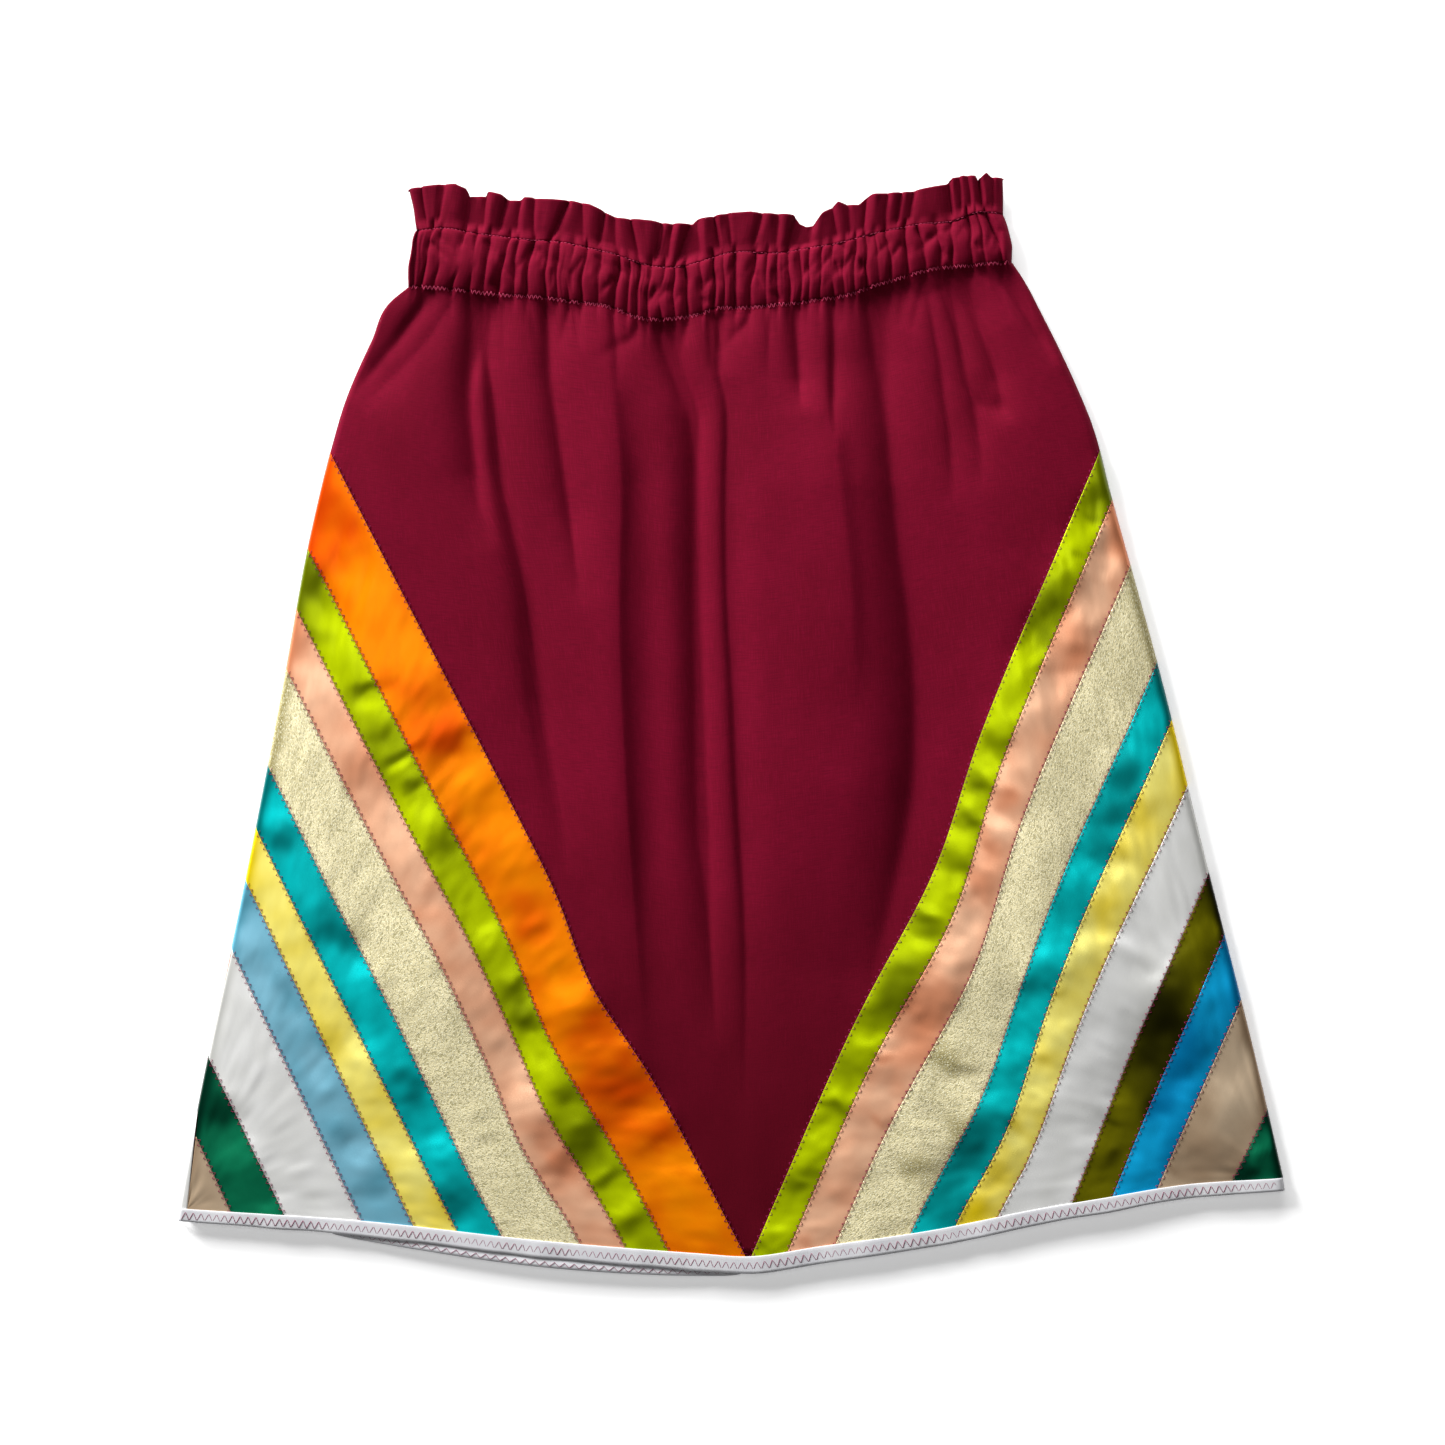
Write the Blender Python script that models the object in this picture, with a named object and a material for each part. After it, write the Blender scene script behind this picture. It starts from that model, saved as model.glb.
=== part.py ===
"""A ribbon skirt laid flat on a surface, front up.

The skirt is a tube of cotton cloth: a front panel and a back panel, gathered at the top into an
elastic casing with a ruffled header above it, and bound at the hem. Ribbons are sewn over the lower
corners of the front in a wide V. Tables and formulas are in millimetres, seen from above:
+X to the right, +Y towards the waist, +Z up from the surface that the skirt lies on.
"""
import math

import bmesh
import bpy
import numpy as np
from mathutils import Vector

MM = 0.001
COLLECTION_NAME = "ribbon_skirt"

# Walls and gaps
PANEL_WALL = 1.4
BACK_WALL = 1.5
RIBBON_WALL = 1.0
LAYER_GAP = 0.3
SEAM_GAP = 0.3
RIBBON_INSET = 0.16
SHARP_TIP = 0.4
BINDING_RISE = 1.8
# A wall grows no thicker upright than on a slope whose normal has this upward share
STEEPEST = 0.74

# Heights of the front's upper side above the surface
VALLEY_TOP = 5.2
SEAM_CREST_TOP = 8.3
CASING_CREST_TOP = 12.0
HEADER_STITCH_CREST_TOP = 9.5
HEADER_EDGE_CREST_TOP = 14.0
PANEL_TOP_AT_WAIST = 9.6
PANEL_TOP_AT_HEM = 6.0
WAIST_FALL = 0.6
LOWEST_PANEL_TOP = 4.6
SOFTEST_STOP = 1.6
RIM_TOP = 2.3

# Corners of the front panel, and the ends of the header's foot
WAIST_LEFT = -223.0
WAIST_RIGHT = 194.0
HEM_LEFT = -381.0
HEM_RIGHT = 381.0
STITCH_LEFT = -217.0
STITCH_RIGHT = 188.0
HEADER_LEFT = -222.0

# The folded sides: the front turns down at its rim and hides the back panel's edge
RIM_LEFT = (3.0, 9.0)
RIM_RIGHT = (3.0, 7.0)
BACK_INSET = 2.8
BACK_STEPS = 48
BACK_WAIST_STEPS = 96

BACK_WAIST_ENDS = (WAIST_LEFT + BACK_INSET, WAIST_RIGHT - BACK_INSET)
BACK_STITCH_ENDS = (STITCH_LEFT + BACK_INSET, STITCH_RIGHT - BACK_INSET)
BACK_HEM_ENDS = (HEM_LEFT + BACK_INSET, HEM_RIGHT - BACK_INSET)
BACK_HEADER_LOWER = 2.0

# Hem binding
BINDING_DEPTH_CENTRE = 12.3
BINDING_DEPTH_CORNER = 8.8
BINDING_FLARE = 1.003
BACK_HEM_START = -277.0
BACK_HEM_END = 8.0
BACK_HEM_DROP = 6.5
BACK_HEM_HIDDEN = 0.6

# The back's waist waves, pressed flat underneath
BACK_WAVE_LENGTH = 17.0
BACK_WAVE_HEIGHT = 1.2

# A gather this wide rises to the full crest height; a power under 1 makes crests round
FULL_GATHER = 8.0
CREST_ROUNDNESS = 0.75
GATHER_COLUMNS = 4
CASING_ROWS = (0.0, 0.25, 0.5, 0.75, 1.0)
HEADER_ROWS = (0.0, 0.35, 0.7, 1.0)
HEADER_RISE = 0.8
END_DIP = 0.45

# The casing's ends bow out between its two lines of stitches, and its middle doesn't
END_BOW = 3.0
END_BOW_POWER = 15

# How fast the small gathers under the waist seam run out, as a share of the panel's length
GATHER_FADE = 0.055
PANEL_ROWS = (0.0, 0.015, 0.04, 0.075, 0.12, 0.17, 0.23, 0.3, 0.39, 0.48, 0.57, 0.66, 0.75, 0.84, 0.92, 1.0)
FINE_ROWS = 4
CUT_SNAP = 0.9

# x, y
WAIST_SEAM = (
    (-223, 302), (-193, 300), (-159, 296), (-128, 294), (-106, 291), (-81, 287), (-66, 281), (-38, 280),
    (-21, 283), (-10, 287), (4, 287), (32, 289), (61, 293), (80, 296), (97, 302), (114, 307), (139, 314),
    (159, 316), (194, 319),
)
# x, y
CASING_TOP = (
    (-217, 340), (-201, 342), (-173, 338), (-139, 334), (-115, 332), (-97, 328), (-77, 323), (-66, 319),
    (-55, 316), (-32, 316), (-21, 319), (-1, 325), (35, 325), (52, 328), (75, 332), (97, 338), (111, 341),
    (131, 345), (153, 347), (170, 353), (188, 352),
)
# x, y, with a drop where one wave lies over the next
HEADER_EDGE = (
    (-222, 369), (-217, 370), (-201, 372), (-190, 372), (-182, 369), (-180, 364), (-169, 364), (-167, 367),
    (-158, 365), (-152, 361), (-146, 361), (-143, 363), (-137, 363), (-135, 362), (-111, 361), (-97, 358),
    (-85, 352), (-78, 349), (-56, 347), (-42, 345), (-26, 345), (-23, 348), (-13, 350), (-2, 352), (13, 353),
    (23, 352), (43, 351), (47, 345), (52, 343), (57, 344), (63, 352), (70, 356), (74, 360), (81, 358),
    (88, 358), (93, 363), (97, 365), (110, 366), (124, 367), (148, 372), (152, 376), (160, 378), (168, 378),
    (170, 375), (174, 378), (176, 380), (179, 377), (188, 377),
)
# x, y
HEM_SEAM = (
    (-381, -334), (-249, -343), (-132, -356), (-21, -365), (10, -367), (62, -360), (144, -348), (213, -334),
    (255, -327), (310, -318), (381, -313),
)
# share of the panel's length below the waist seam, x of the left side, x of the right side
SIDES = (
    (0.0, -223, 194), (0.014, -234, 200), (0.058, -248, 215), (0.123, -266, 235), (0.176, -276, 249),
    (0.253, -288, 262), (0.448, -311, 296), (0.666, -338, 330), (0.883, -367, 364), (1.0, -381, 381),
)
# Columns of the panel follow its long folds: x of each at these shares of the length
GUIDE_SHARES = (0.0, 0.1, 0.2, 0.3, 0.45, 0.6, 0.8, 1.0)
GUIDES = (
    (-171, -180, -174, -149, -128, -112, -97, -85),
    (-128, -120, -113, -106, -94, -82, -72, -62),
    (-81, -75, -70, -66, -63, -57, -40, -30),
    (-39, -27, -24, -23, -19, -13, -7, -4),
    (-12, -4, -5, -3, 0, 5, 4, 10),
    (71, 70, 78, 83, 88, 92, 96, 100),
    (94, 107, 113, 118, 129, 135, 142, 150),
    (152, 175, 196, 205, 219, 235, 250, 262),
)
# The casing's gathers: x of the valley at the upper stitches, x at the waist seam, depth from 0 to 1
GATHERS = (
    (-216, -219, 0.6), (-205, -214, 0.9), (-199, -205, 0.4), (-183, -193, 1.0), (-175, -181, 0.9),
    (-166, -171, 0.5), (-152, -161, 1.0), (-146, -150, 0.4), (-135, -141, 0.8), (-125, -128, 1.0),
    (-118, -120, 0.4), (-108, -112, 0.7), (-99, -103, 0.9), (-89, -92, 0.3), (-77, -81, 1.0),
    (-70, -72, 0.5), (-63, -65, 0.7), (-55, -58, 0.7), (-46, -48, 1.0), (-39, -39, 0.6), (-32, -30, 1.0),
    (-22, -20, 0.5), (-12, -12, 1.0), (-5, -5, 0.4), (3, 3, 0.9), (17, 13, 0.7), (25, 24, 0.5),
    (32, 32, 0.5), (39, 40, 0.9), (47, 47, 0.8), (54, 53, 0.6), (63, 61, 0.6), (70, 71, 0.9),
    (79, 78, 0.4), (86, 85, 0.8), (92, 94, 1.0), (99, 102, 0.3), (106, 110, 0.9), (120, 122, 1.0),
    (128, 134, 0.5), (141, 144, 0.7), (152, 152, 0.8), (163, 166, 1.0), (169, 175, 0.4), (175, 187, 1.0),
)
# The header's waves: x of the valley at the edge, x at the upper stitches, valley depth from 0 to 1,
# and the height from 0 to 1 of the wave to its right
FIRST_WAVE_HEIGHT = 0.5
WAVES = (
    (-214, -209, 0.8, 0.6), (-197, -203, 0.5, 0.8), (-180, -183, 1.0, 0.2), (-168, -171, 0.6, 0.9),
    (-154, -161, 0.9, 0.5), (-145, -148, 0.6, 0.7), (-136, -136, 0.6, 0.8), (-112, -124, 0.9, 0.6),
    (-103, -101, 0.6, 0.7), (-87, -92, 0.9, 0.5), (-80, -79, 0.5, 0.6), (-70, -62, 0.9, 0.8),
    (-47, -53, 0.9, 0.4), (-41, -44, 0.7, 0.7), (-28, -38, 1.0, 0.1), (-23, -21, 0.9, 0.9),
    (-12, -7, 0.9, 0.8), (-2, 1, 0.5, 0.8), (22, 14, 0.5, 0.8), (33, 31, 0.4, 0.9), (44, 39, 1.0, 0.1),
    (57, 53, 0.3, 0.7), (70, 74, 0.8, 0.7), (81, 82, 0.5, 0.5), (93, 91, 0.8, 0.9), (108, 106, 0.5, 0.8),
    (117, 114, 0.6, 0.6), (126, 122, 0.5, 0.8), (150, 153, 1.0, 0.8), (157, 159, 0.5, 0.6),
    (163, 166, 0.5, 0.7), (171, 174, 1.0, 0.9), (180, 181, 0.4, 0.4),
)
# The front panel's folds: depth (negative for a ridge), width of its left and of its right flank,
# and its path as x, y from the waist down
FOLDS = (
    (2.4, 5, 9, ((-209, 300), (-226, 271), (-241, 252), (-263, 224))),
    (1.6, 12, 12, ((-195, 287), (-215, 258), (-257, 217))),
    (4.0, 10, 15, ((-171, 297), (-180, 239), (-175, 177), (-151, 116), (-138, 45), (-122, -20))),
    (1.4, 5, 5, ((-166, 270), (-168, 240), (-173, 193))),
    (2.4, 11, 5, ((-128, 293), (-120, 239), (-114, 177), (-107, 107), (-98, 60))),
    (3.0, 4, 17, ((-81, 287), (-74, 204), (-67, 107), (-63, -48), (-52, -158), (-43, -203), (-36, -260))),
    (5.0, 13, 8, ((-41, 279), (-37, 248), (-26, 221), (-23, 107), (-19, -26), (-14, -92), (-6, -150))),
    (4.0, 6, 13, ((-12, 286), (-1, 243), (-7, 204), (-3, 107), (0, 18), (3, -70), (6, -158), (3, -269))),
    (1.4, 5, 5, ((45, 290), (46, 270), (48, 243))),
    (2.0, 6, 6, ((71, 294), (70, 239), (77, 177), (82, 140))),
    (5.0, 19, 5, ((94, 300), (107, 239), (114, 151), (123, 62), (129, 14), (125, -17), (112, -114), (90, -190))),
    (2.4, 8, 8, ((123, 307), (140, 270), (176, 221))),
    (3.6, 11, 8, ((152, 312), (167, 274), (189, 221))),
    (2.8, 8, 6, ((187, 315), (202, 285), (224, 248))),
    (1.0, 12, 12, ((162, 186), (180, 199), (202, 208))),
    (-1.6, 30, 30, ((-240, 60), (-215, -60), (-190, -200), (-170, -300))),
    (-1.6, 30, 30, ((190, 120), (205, -40), (225, -180), (245, -280))),
)
FOLD_FADE = 0.3
BEND_STOP = 30.0
# Soft bends where the ribbons run over a lying fold: x, y, reach in x and y, sideways shift, lift
BENDS = (
    (-97, -190, 28, 41, -10.4, 2.0), (-132, -287, 28, 35, -6.2, 1.2), (-208, -163, 28, 41, 2.8, 1.0),
    (144, -142, 31, 76, 13.8, 2.0), (179, -273, 31, 41, 5.5, 1.2), (255, -156, 35, 83, -4.1, 0.8),
)
# Ribbons from the top of the V down: name, where the upper edge meets the side, where it meets the
# hem seam, colour, roughness, metallic
LEFT_RIBBONS = (
    ("orange", (-275, 188), (10, -367), (0.90, 0.20, 0.01), 0.35, 0.0),
    ("lime", (-286, 122), (-43, -359), (0.28, 0.42, 0.01), 0.35, 0.0),
    ("peach", (-297, 80), (-73, -357), (0.85, 0.45, 0.30), 0.35, 0.0),
    ("gold", (-306, 39), (-104, -354), (0.52, 0.49, 0.28), 0.45, 0.4),
    ("teal", (-320, -28), (-158, -349), (0.02, 0.36, 0.37), 0.35, 0.0),
    ("yellow", (-329, -71), (-189, -346), (0.85, 0.73, 0.14), 0.35, 0.0),
    ("sky", (-336, -107), (-219, -344), (0.28, 0.52, 0.62), 0.35, 0.0),
    ("white", (-344, -154), (-255, -341), (0.80, 0.80, 0.81), 0.35, 0.0),
    ("green", (-359, -229), (-308, -338), (0.01, 0.12, 0.06), 0.30, 0.0),
    ("beige", (-368, -284), (-345, -335), (0.60, 0.48, 0.33), 0.35, 0.0),
)
RIGHT_RIBBONS = (
    ("lime", (253, 189), (14, -366), (0.28, 0.42, 0.01), 0.35, 0.0),
    ("peach", (264, 155), (39, -363), (0.85, 0.45, 0.30), 0.35, 0.0),
    ("gold", (275, 110), (72, -358), (0.52, 0.49, 0.28), 0.45, 0.4),
    ("teal", (293, 43), (124, -351), (0.02, 0.36, 0.37), 0.35, 0.0),
    ("yellow", (303, 3), (155, -346), (0.85, 0.73, 0.14), 0.35, 0.0),
    ("white", (313, -42), (184, -340), (0.80, 0.80, 0.81), 0.35, 0.0),
    ("olive", (329, -102), (235, -330), (0.09, 0.08, 0.01), 0.30, 0.0),
    ("blue", (339, -145), (263, -326), (0.02, 0.29, 0.64), 0.35, 0.0),
    ("beige", (351, -190), (294, -320), (0.60, 0.48, 0.33), 0.35, 0.0),
    ("green", (368, -266), (346, -315), (0.01, 0.12, 0.06), 0.30, 0.0),
)
# A white ribbon of the back comes round the left side at the hem, inside this line
BACK_RIBBON_LINE = ((-367, -267), (-375, -334))

BURGUNDY = (0.16, 0.012, 0.045)
BINDING_WHITE = (0.82, 0.83, 0.85)
WHITE = (0.80, 0.80, 0.81)


def smooth(table, column, where):
    """Value of a table's column at a place in its first column, along a smooth curve."""
    knots = np.array([row[0] for row in table], dtype=float)
    values = np.array([row[column] for row in table], dtype=float)
    slopes = np.gradient(values, knots)
    i = int(np.clip(np.searchsorted(knots, where) - 1, 0, len(knots) - 2))
    step = knots[i + 1] - knots[i]
    t = (where - knots[i]) / step
    blend = t * t * (3 - 2 * t)
    bend = slopes[i] * t * (1 - t) ** 2 - slopes[i + 1] * t * t * (1 - t)
    return float(values[i] + (values[i + 1] - values[i]) * blend + bend * step)


def straight(table, column, where):
    """Value of a table's column at a place in its first column, along straight pieces."""
    return float(np.interp(where, [row[0] for row in table], [row[column] for row in table]))


def mix(a, b, t):
    return a + (b - a) * t


def column_guides(share):
    """X of the panel's sides, rims and long folds at a share of its length."""
    left = smooth(SIDES, 1, share)
    right = smooth(SIDES, 2, share)
    inner = [smooth(list(zip(GUIDE_SHARES, guide)), 1, share) for guide in GUIDES]
    rims_left = [left + RIM_LEFT[0], left + RIM_LEFT[1]]
    rims_right = [right - RIM_RIGHT[1], right - RIM_RIGHT[0]]
    return [left] + rims_left + inner + rims_right + [right]


def panel_point(station, share):
    """Plan point of the panel on the column that starts at this x of the waist seam."""
    waist_x = column_guides(0.0)
    i = int(np.clip(np.searchsorted(waist_x, station) - 1, 0, len(waist_x) - 2))
    t = (station - waist_x[i]) / (waist_x[i + 1] - waist_x[i])
    here = column_guides(share)
    end = column_guides(1.0)
    x = mix(here[i], here[i + 1], t)
    hem_y = smooth(HEM_SEAM, 1, mix(end[i], end[i + 1], t))
    return x, mix(smooth(WAIST_SEAM, 1, station), hem_y, share)


def rim(x, left, right):
    """0 at the outline, 1 where the cloth has its full height."""
    inside = min(max(0.0, x - left) / RIM_LEFT[1], max(0.0, right - x) / RIM_RIGHT[1], 1.0)
    return math.sqrt(1 - (1 - inside) ** 2)


def path_distance(x, y, path):
    """Distance from a path that runs down, positive on its right in plan, and the share of it passed."""
    best = (1e9, 0.0)
    lengths = [math.dist(a, b) for a, b in zip(path, path[1:])]
    passed = 0.0
    for (ax, ay), (bx, by), length in zip(path, path[1:], lengths):
        dx, dy = (bx - ax) / length, (by - ay) / length
        along = min(max((x - ax) * dx + (y - ay) * dy, 0.0), length)
        off_x, off_y = x - ax - along * dx, y - ay - along * dy
        away = math.hypot(off_x, off_y)
        if away < abs(best[0]):
            side = 1 if dx * off_y - dy * off_x >= 0 else -1
            best = (away * side, (passed + along) / sum(lengths))
        passed += length
    return best


def fold_drop(x, y):
    """How far the folds lower the front panel at a plan point."""
    drop = 0.0
    for depth, left_width, right_width, path in FOLDS:
        away, passed = path_distance(x, y, path)
        width = right_width if away > 0 else left_width
        fade = min(1.0, (1 - passed) / FOLD_FADE)
        if depth < 0:
            fade = math.sin(math.pi * passed)
        drop += depth * fade * math.exp(-(away / width) ** 2)
    return drop


def gather_dip(x):
    """1 in the valley of a gather at the waist seam, 0 on the crest between two."""
    places = [WAIST_LEFT] + [row[1] for row in GATHERS] + [WAIST_RIGHT]
    depths = [END_DIP] + [row[2] for row in GATHERS] + [END_DIP]
    i = int(np.clip(np.searchsorted(places, x) - 1, 0, len(places) - 2))
    t = min(max((x - places[i]) / (places[i + 1] - places[i]), 0.0), 1.0)
    narrow = min(1.0, (places[i + 1] - places[i]) / FULL_GATHER)
    return mix(depths[i], depths[i + 1], t) * (1 - narrow * math.sin(math.pi * t) ** CREST_ROUNDNESS)


def bend_plan(x, y):
    """Plan point after the soft bends, with the lift that goes with them."""
    shift = 0.0
    lift = 0.0
    for bend_x, bend_y, reach_x, reach_y, bend_shift, bend_lift in BENDS:
        strength = math.exp(-((x - bend_x) / reach_x) ** 2 / 2 - ((y - bend_y) / reach_y) ** 2 / 2)
        shift += bend_shift * strength
        lift += bend_lift * strength
    above_hem = y - smooth(HEM_SEAM, 1, min(max(x, HEM_LEFT), HEM_RIGHT))
    return x + shift * min(1.0, max(0.0, above_hem / BEND_STOP)), y, lift


def panel_share(x, y):
    """Share of the panel's length at a plan point, closed in on from a first guess."""
    share = 0.5
    for _ in range(5):
        left = smooth(SIDES, 1, share)
        across = min(max((x - left) / (smooth(SIDES, 2, share) - left), 0.0), 1.0)
        top = smooth(WAIST_SEAM, 1, mix(WAIST_LEFT, WAIST_RIGHT, across))
        bottom = smooth(HEM_SEAM, 1, mix(HEM_LEFT, HEM_RIGHT, across))
        share = min(max((top - y) / (top - bottom), 0.0), 1.0)
    return share


def panel_top(x, y, lift=0.0):
    """Height of the front panel's upper side."""
    share = panel_share(x, y)
    calm = mix(PANEL_TOP_AT_WAIST, PANEL_TOP_AT_HEM, share ** WAIST_FALL)
    body = calm + lift - fold_drop(x, y)
    over = SOFTEST_STOP * (body - LOWEST_PANEL_TOP)
    body = LOWEST_PANEL_TOP + math.log1p(math.exp(over)) / SOFTEST_STOP
    seam = mix(SEAM_CREST_TOP, VALLEY_TOP, gather_dip(x))
    near_seam = math.exp(-share / GATHER_FADE)
    height = mix(body, seam, near_seam)
    left = smooth(SIDES, 1, share)
    right = smooth(SIDES, 2, share)
    return mix(RIM_TOP, height, rim(x, left, right))


def map_grid(columns, rows, place):
    """A grid of cloth whose corner points come from place(column, row)."""
    bm = bmesh.new()
    bmesh.ops.create_grid(bm, x_segments=len(columns) - 1, y_segments=len(rows) - 1, size=0.5)
    for vert in bm.verts:
        i = round((vert.co.x + 0.5) * (len(columns) - 1))
        j = round((vert.co.y + 0.5) * (len(rows) - 1))
        vert.co = Vector(place(columns[i], rows[j]))
    bm.normal_update()
    return bm


def face_up(bm):
    """Turn every face of a sheet upward and cut it into triangles."""
    for face in bm.faces:
        face.normal_update()
        if face.normal.z < 0:
            face.normal_flip()
    bmesh.ops.triangulate(bm, faces=bm.faces[:])
    bm.normal_update()


def thicken(bm, wall):
    """Close a sheet with an under side straight below it, further down under its slopes."""
    bm.verts.index_update()
    drops = [wall / max(vert.normal.z, STEEPEST) for vert in bm.verts]
    upper = bm.verts[:]
    copied = bmesh.ops.duplicate(bm, geom=bm.verts[:] + bm.edges[:] + bm.faces[:])
    under = {vert: copied["vert_map"][vert] for vert in upper}
    for vert, drop in zip(upper, drops):
        lower = under[vert]
        lower.co.z = max(0.0, lower.co.z - drop)
    for element in copied["geom"]:
        if isinstance(element, bmesh.types.BMFace):
            element.normal_flip()
    rims = [edge for edge in bm.edges if edge.is_boundary]
    bmesh.ops.bridge_loops(bm, edges=rims)
    bmesh.ops.triangulate(bm, faces=[face for face in bm.faces if len(face.verts) > 3])
    bmesh.ops.recalc_face_normals(bm, faces=bm.faces[:])


def cloth_material(name, colour, roughness, metallic=0.0):
    material = bpy.data.materials.new(name)
    material.use_nodes = True
    shader = material.node_tree.nodes["Principled BSDF"]
    shader.inputs["Base Color"].default_value = (*colour, 1.0)
    shader.inputs["Roughness"].default_value = roughness
    shader.inputs["Metallic"].default_value = metallic
    return material


def add_piece(name, bm, material, collection, root):
    """Turn a bmesh in millimetres into an object placed at its own middle."""
    bmesh.ops.scale(bm, vec=(MM, MM, MM), verts=bm.verts[:])
    low = Vector([min(vert.co[k] for vert in bm.verts) for k in range(3)])
    high = Vector([max(vert.co[k] for vert in bm.verts) for k in range(3)])
    middle = (low + high) / 2
    middle.z = low.z
    bmesh.ops.translate(bm, vec=-middle, verts=bm.verts[:])
    mesh = bpy.data.meshes.new(name)
    bm.to_mesh(mesh)
    bm.free()
    mesh.shade_smooth()
    mesh.materials.append(material)
    piece = bpy.data.objects.new(name, mesh)
    piece.location = middle
    piece.parent = root
    collection.objects.link(piece)
    return piece


def waist_stations():
    """X of the panel's columns at the waist seam: each valley and each crest, rims and long folds."""
    valleys = [row[1] for row in GATHERS]
    crests = [(a + b) / 2 for a, b in zip(valleys, valleys[1:])]
    return sorted(set(valleys + crests + column_guides(0.0)))


def kept_stations(stations):
    """The columns that run on down to the hem: the rims, the long folds and every third of the rest."""
    guides = column_guides(0.0)
    kept = []
    for i, station in enumerate(stations):
        on_guide = min(abs(station - guide) for guide in guides) < 0.01
        if on_guide or i % 3 == 0:
            kept.append(station)
    return kept


def thin_out_columns(bm, stations):
    """Merge neighbouring columns below the fine rows, where the cloth is calm."""
    kept = set(round(station, 3) for station in kept_stations(stations))
    start = PANEL_ROWS[FINE_ROWS]
    station_of = {}
    share_of = {}
    for vert in bm.verts:
        station_of[vert] = round(stations[round((vert.co.x + 0.5) * (len(stations) - 1))], 3)
        share_of[vert] = PANEL_ROWS[round((vert.co.y + 0.5) * (len(PANEL_ROWS) - 1))]
    spare = []
    for edge in bm.edges:
        a, b = edge.verts
        if station_of[a] != station_of[b] or station_of[a] in kept:
            continue
        if min(share_of[a], share_of[b]) >= start:
            spare.append(edge)
    bmesh.ops.dissolve_edges(bm, edges=spare, use_verts=True)


def front_sheet():
    """The front panel's plan: columns and rows, cut along every ribbon edge, before it is draped."""
    stations = waist_stations()
    bm = bmesh.new()
    bmesh.ops.create_grid(bm, x_segments=len(stations) - 1, y_segments=len(PANEL_ROWS) - 1, size=0.5)
    thin_out_columns(bm, stations)
    for vert in bm.verts:
        i = round((vert.co.x + 0.5) * (len(stations) - 1))
        j = round((vert.co.y + 0.5) * (len(PANEL_ROWS) - 1))
        share = PANEL_ROWS[j]
        x, y = panel_point(stations[i], share)
        if share == 0.0:
            y -= SEAM_GAP / 2
        if share == 1.0:
            y += SEAM_GAP / 2
        vert.co = Vector((x, y, 0))
    lines = [row[1:3] for row in LEFT_RIBBONS + RIGHT_RIBBONS] + [BACK_RIBBON_LINE]
    for start, end in lines:
        across = Vector((end[1] - start[1], start[0] - end[0], 0)).normalized()
        bmesh.ops.bisect_plane(bm, geom=bm.verts[:] + bm.edges[:] + bm.faces[:], dist=CUT_SNAP,
                               plane_co=Vector((*start, 0)), plane_no=across)
    return bm


def beyond(point, line):
    """Positive on the right of a line that runs from the side to the hem, as seen from above."""
    (ax, ay), (bx, by) = line
    return (bx - ax) * (point.y - ay) - (by - ay) * (point.x - ax)


def zone(point):
    """Name of the ribbon over a plan point, or None on bare cloth."""
    name = None
    for row in LEFT_RIBBONS:
        if beyond(point, row[1:3]) < 0:
            name = "ribbon_left_" + row[0]
    for row in RIGHT_RIBBONS:
        if beyond(point, row[1:3]) > 0:
            name = "ribbon_right_" + row[0]
    if name == "ribbon_left_beige" or name == "ribbon_left_green":
        if beyond(point, BACK_RIBBON_LINE) < 0:
            name = "back_ribbon_white"
    return name


def drape(bm):
    """Give the plan its bends, folds and heights."""
    for vert in bm.verts:
        x, y, lift = bend_plan(vert.co.x, vert.co.y)
        vert.co = Vector((x, y, panel_top(x, y, lift)))


def draw_in(bm):
    """Move a ribbon's border in by its gap to the next piece."""
    moves = {}
    for edge in bm.edges:
        if not edge.is_boundary:
            continue
        a, b = edge.verts
        along = b.co - a.co
        inward = Vector((-along.y, along.x, 0)).normalized()
        if inward.dot(edge.link_faces[0].calc_center_median() - a.co) < 0:
            inward = -inward
        for vert in edge.verts:
            moves.setdefault(vert, []).append(inward)
    for vert, inwards in moves.items():
        total = sum(inwards, Vector((0, 0, 0)))
        if total.length < SHARP_TIP:
            continue
        total.normalize()
        vert.co += total * (RIBBON_INSET / max(total.dot(inwards[0]), SHARP_TIP))


def front_pieces(collection, root, burgundy):
    """The front panel, and each ribbon made from the panel's own points, moved out."""
    bm = front_sheet()
    zone_names = sorted({zone(face.calc_center_median()) or "" for face in bm.faces} - {""})
    layer = bm.faces.layers.int.new("zone")
    for face in bm.faces:
        name = zone(face.calc_center_median())
        face[layer] = zone_names.index(name) + 1 if name else 0
    drape(bm)
    face_up(bm)
    colours = {"ribbon_left_" + row[0]: row[3:] for row in LEFT_RIBBONS}
    colours.update({"ribbon_right_" + row[0]: row[3:] for row in RIGHT_RIBBONS})
    colours["back_ribbon_white"] = (WHITE, 0.35, 0.0)
    for i, name in enumerate(zone_names):
        ribbon = bm.copy()
        ribbon_layer = ribbon.faces.layers.int["zone"]
        others = [face for face in ribbon.faces if face[ribbon_layer] != i + 1]
        bmesh.ops.delete(ribbon, geom=others, context="FACES")
        ribbon.normal_update()
        draw_in(ribbon)
        for vert in ribbon.verts:
            vert.co.z += (LAYER_GAP + RIBBON_WALL) / max(vert.normal.z, STEEPEST)
        thicken(ribbon, RIBBON_WALL)
        add_piece(name, ribbon, cloth_material(name, *colours[name]), collection, root)
    thicken(bm, PANEL_WALL)
    add_piece("front_panel", bm, burgundy, collection, root)


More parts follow.
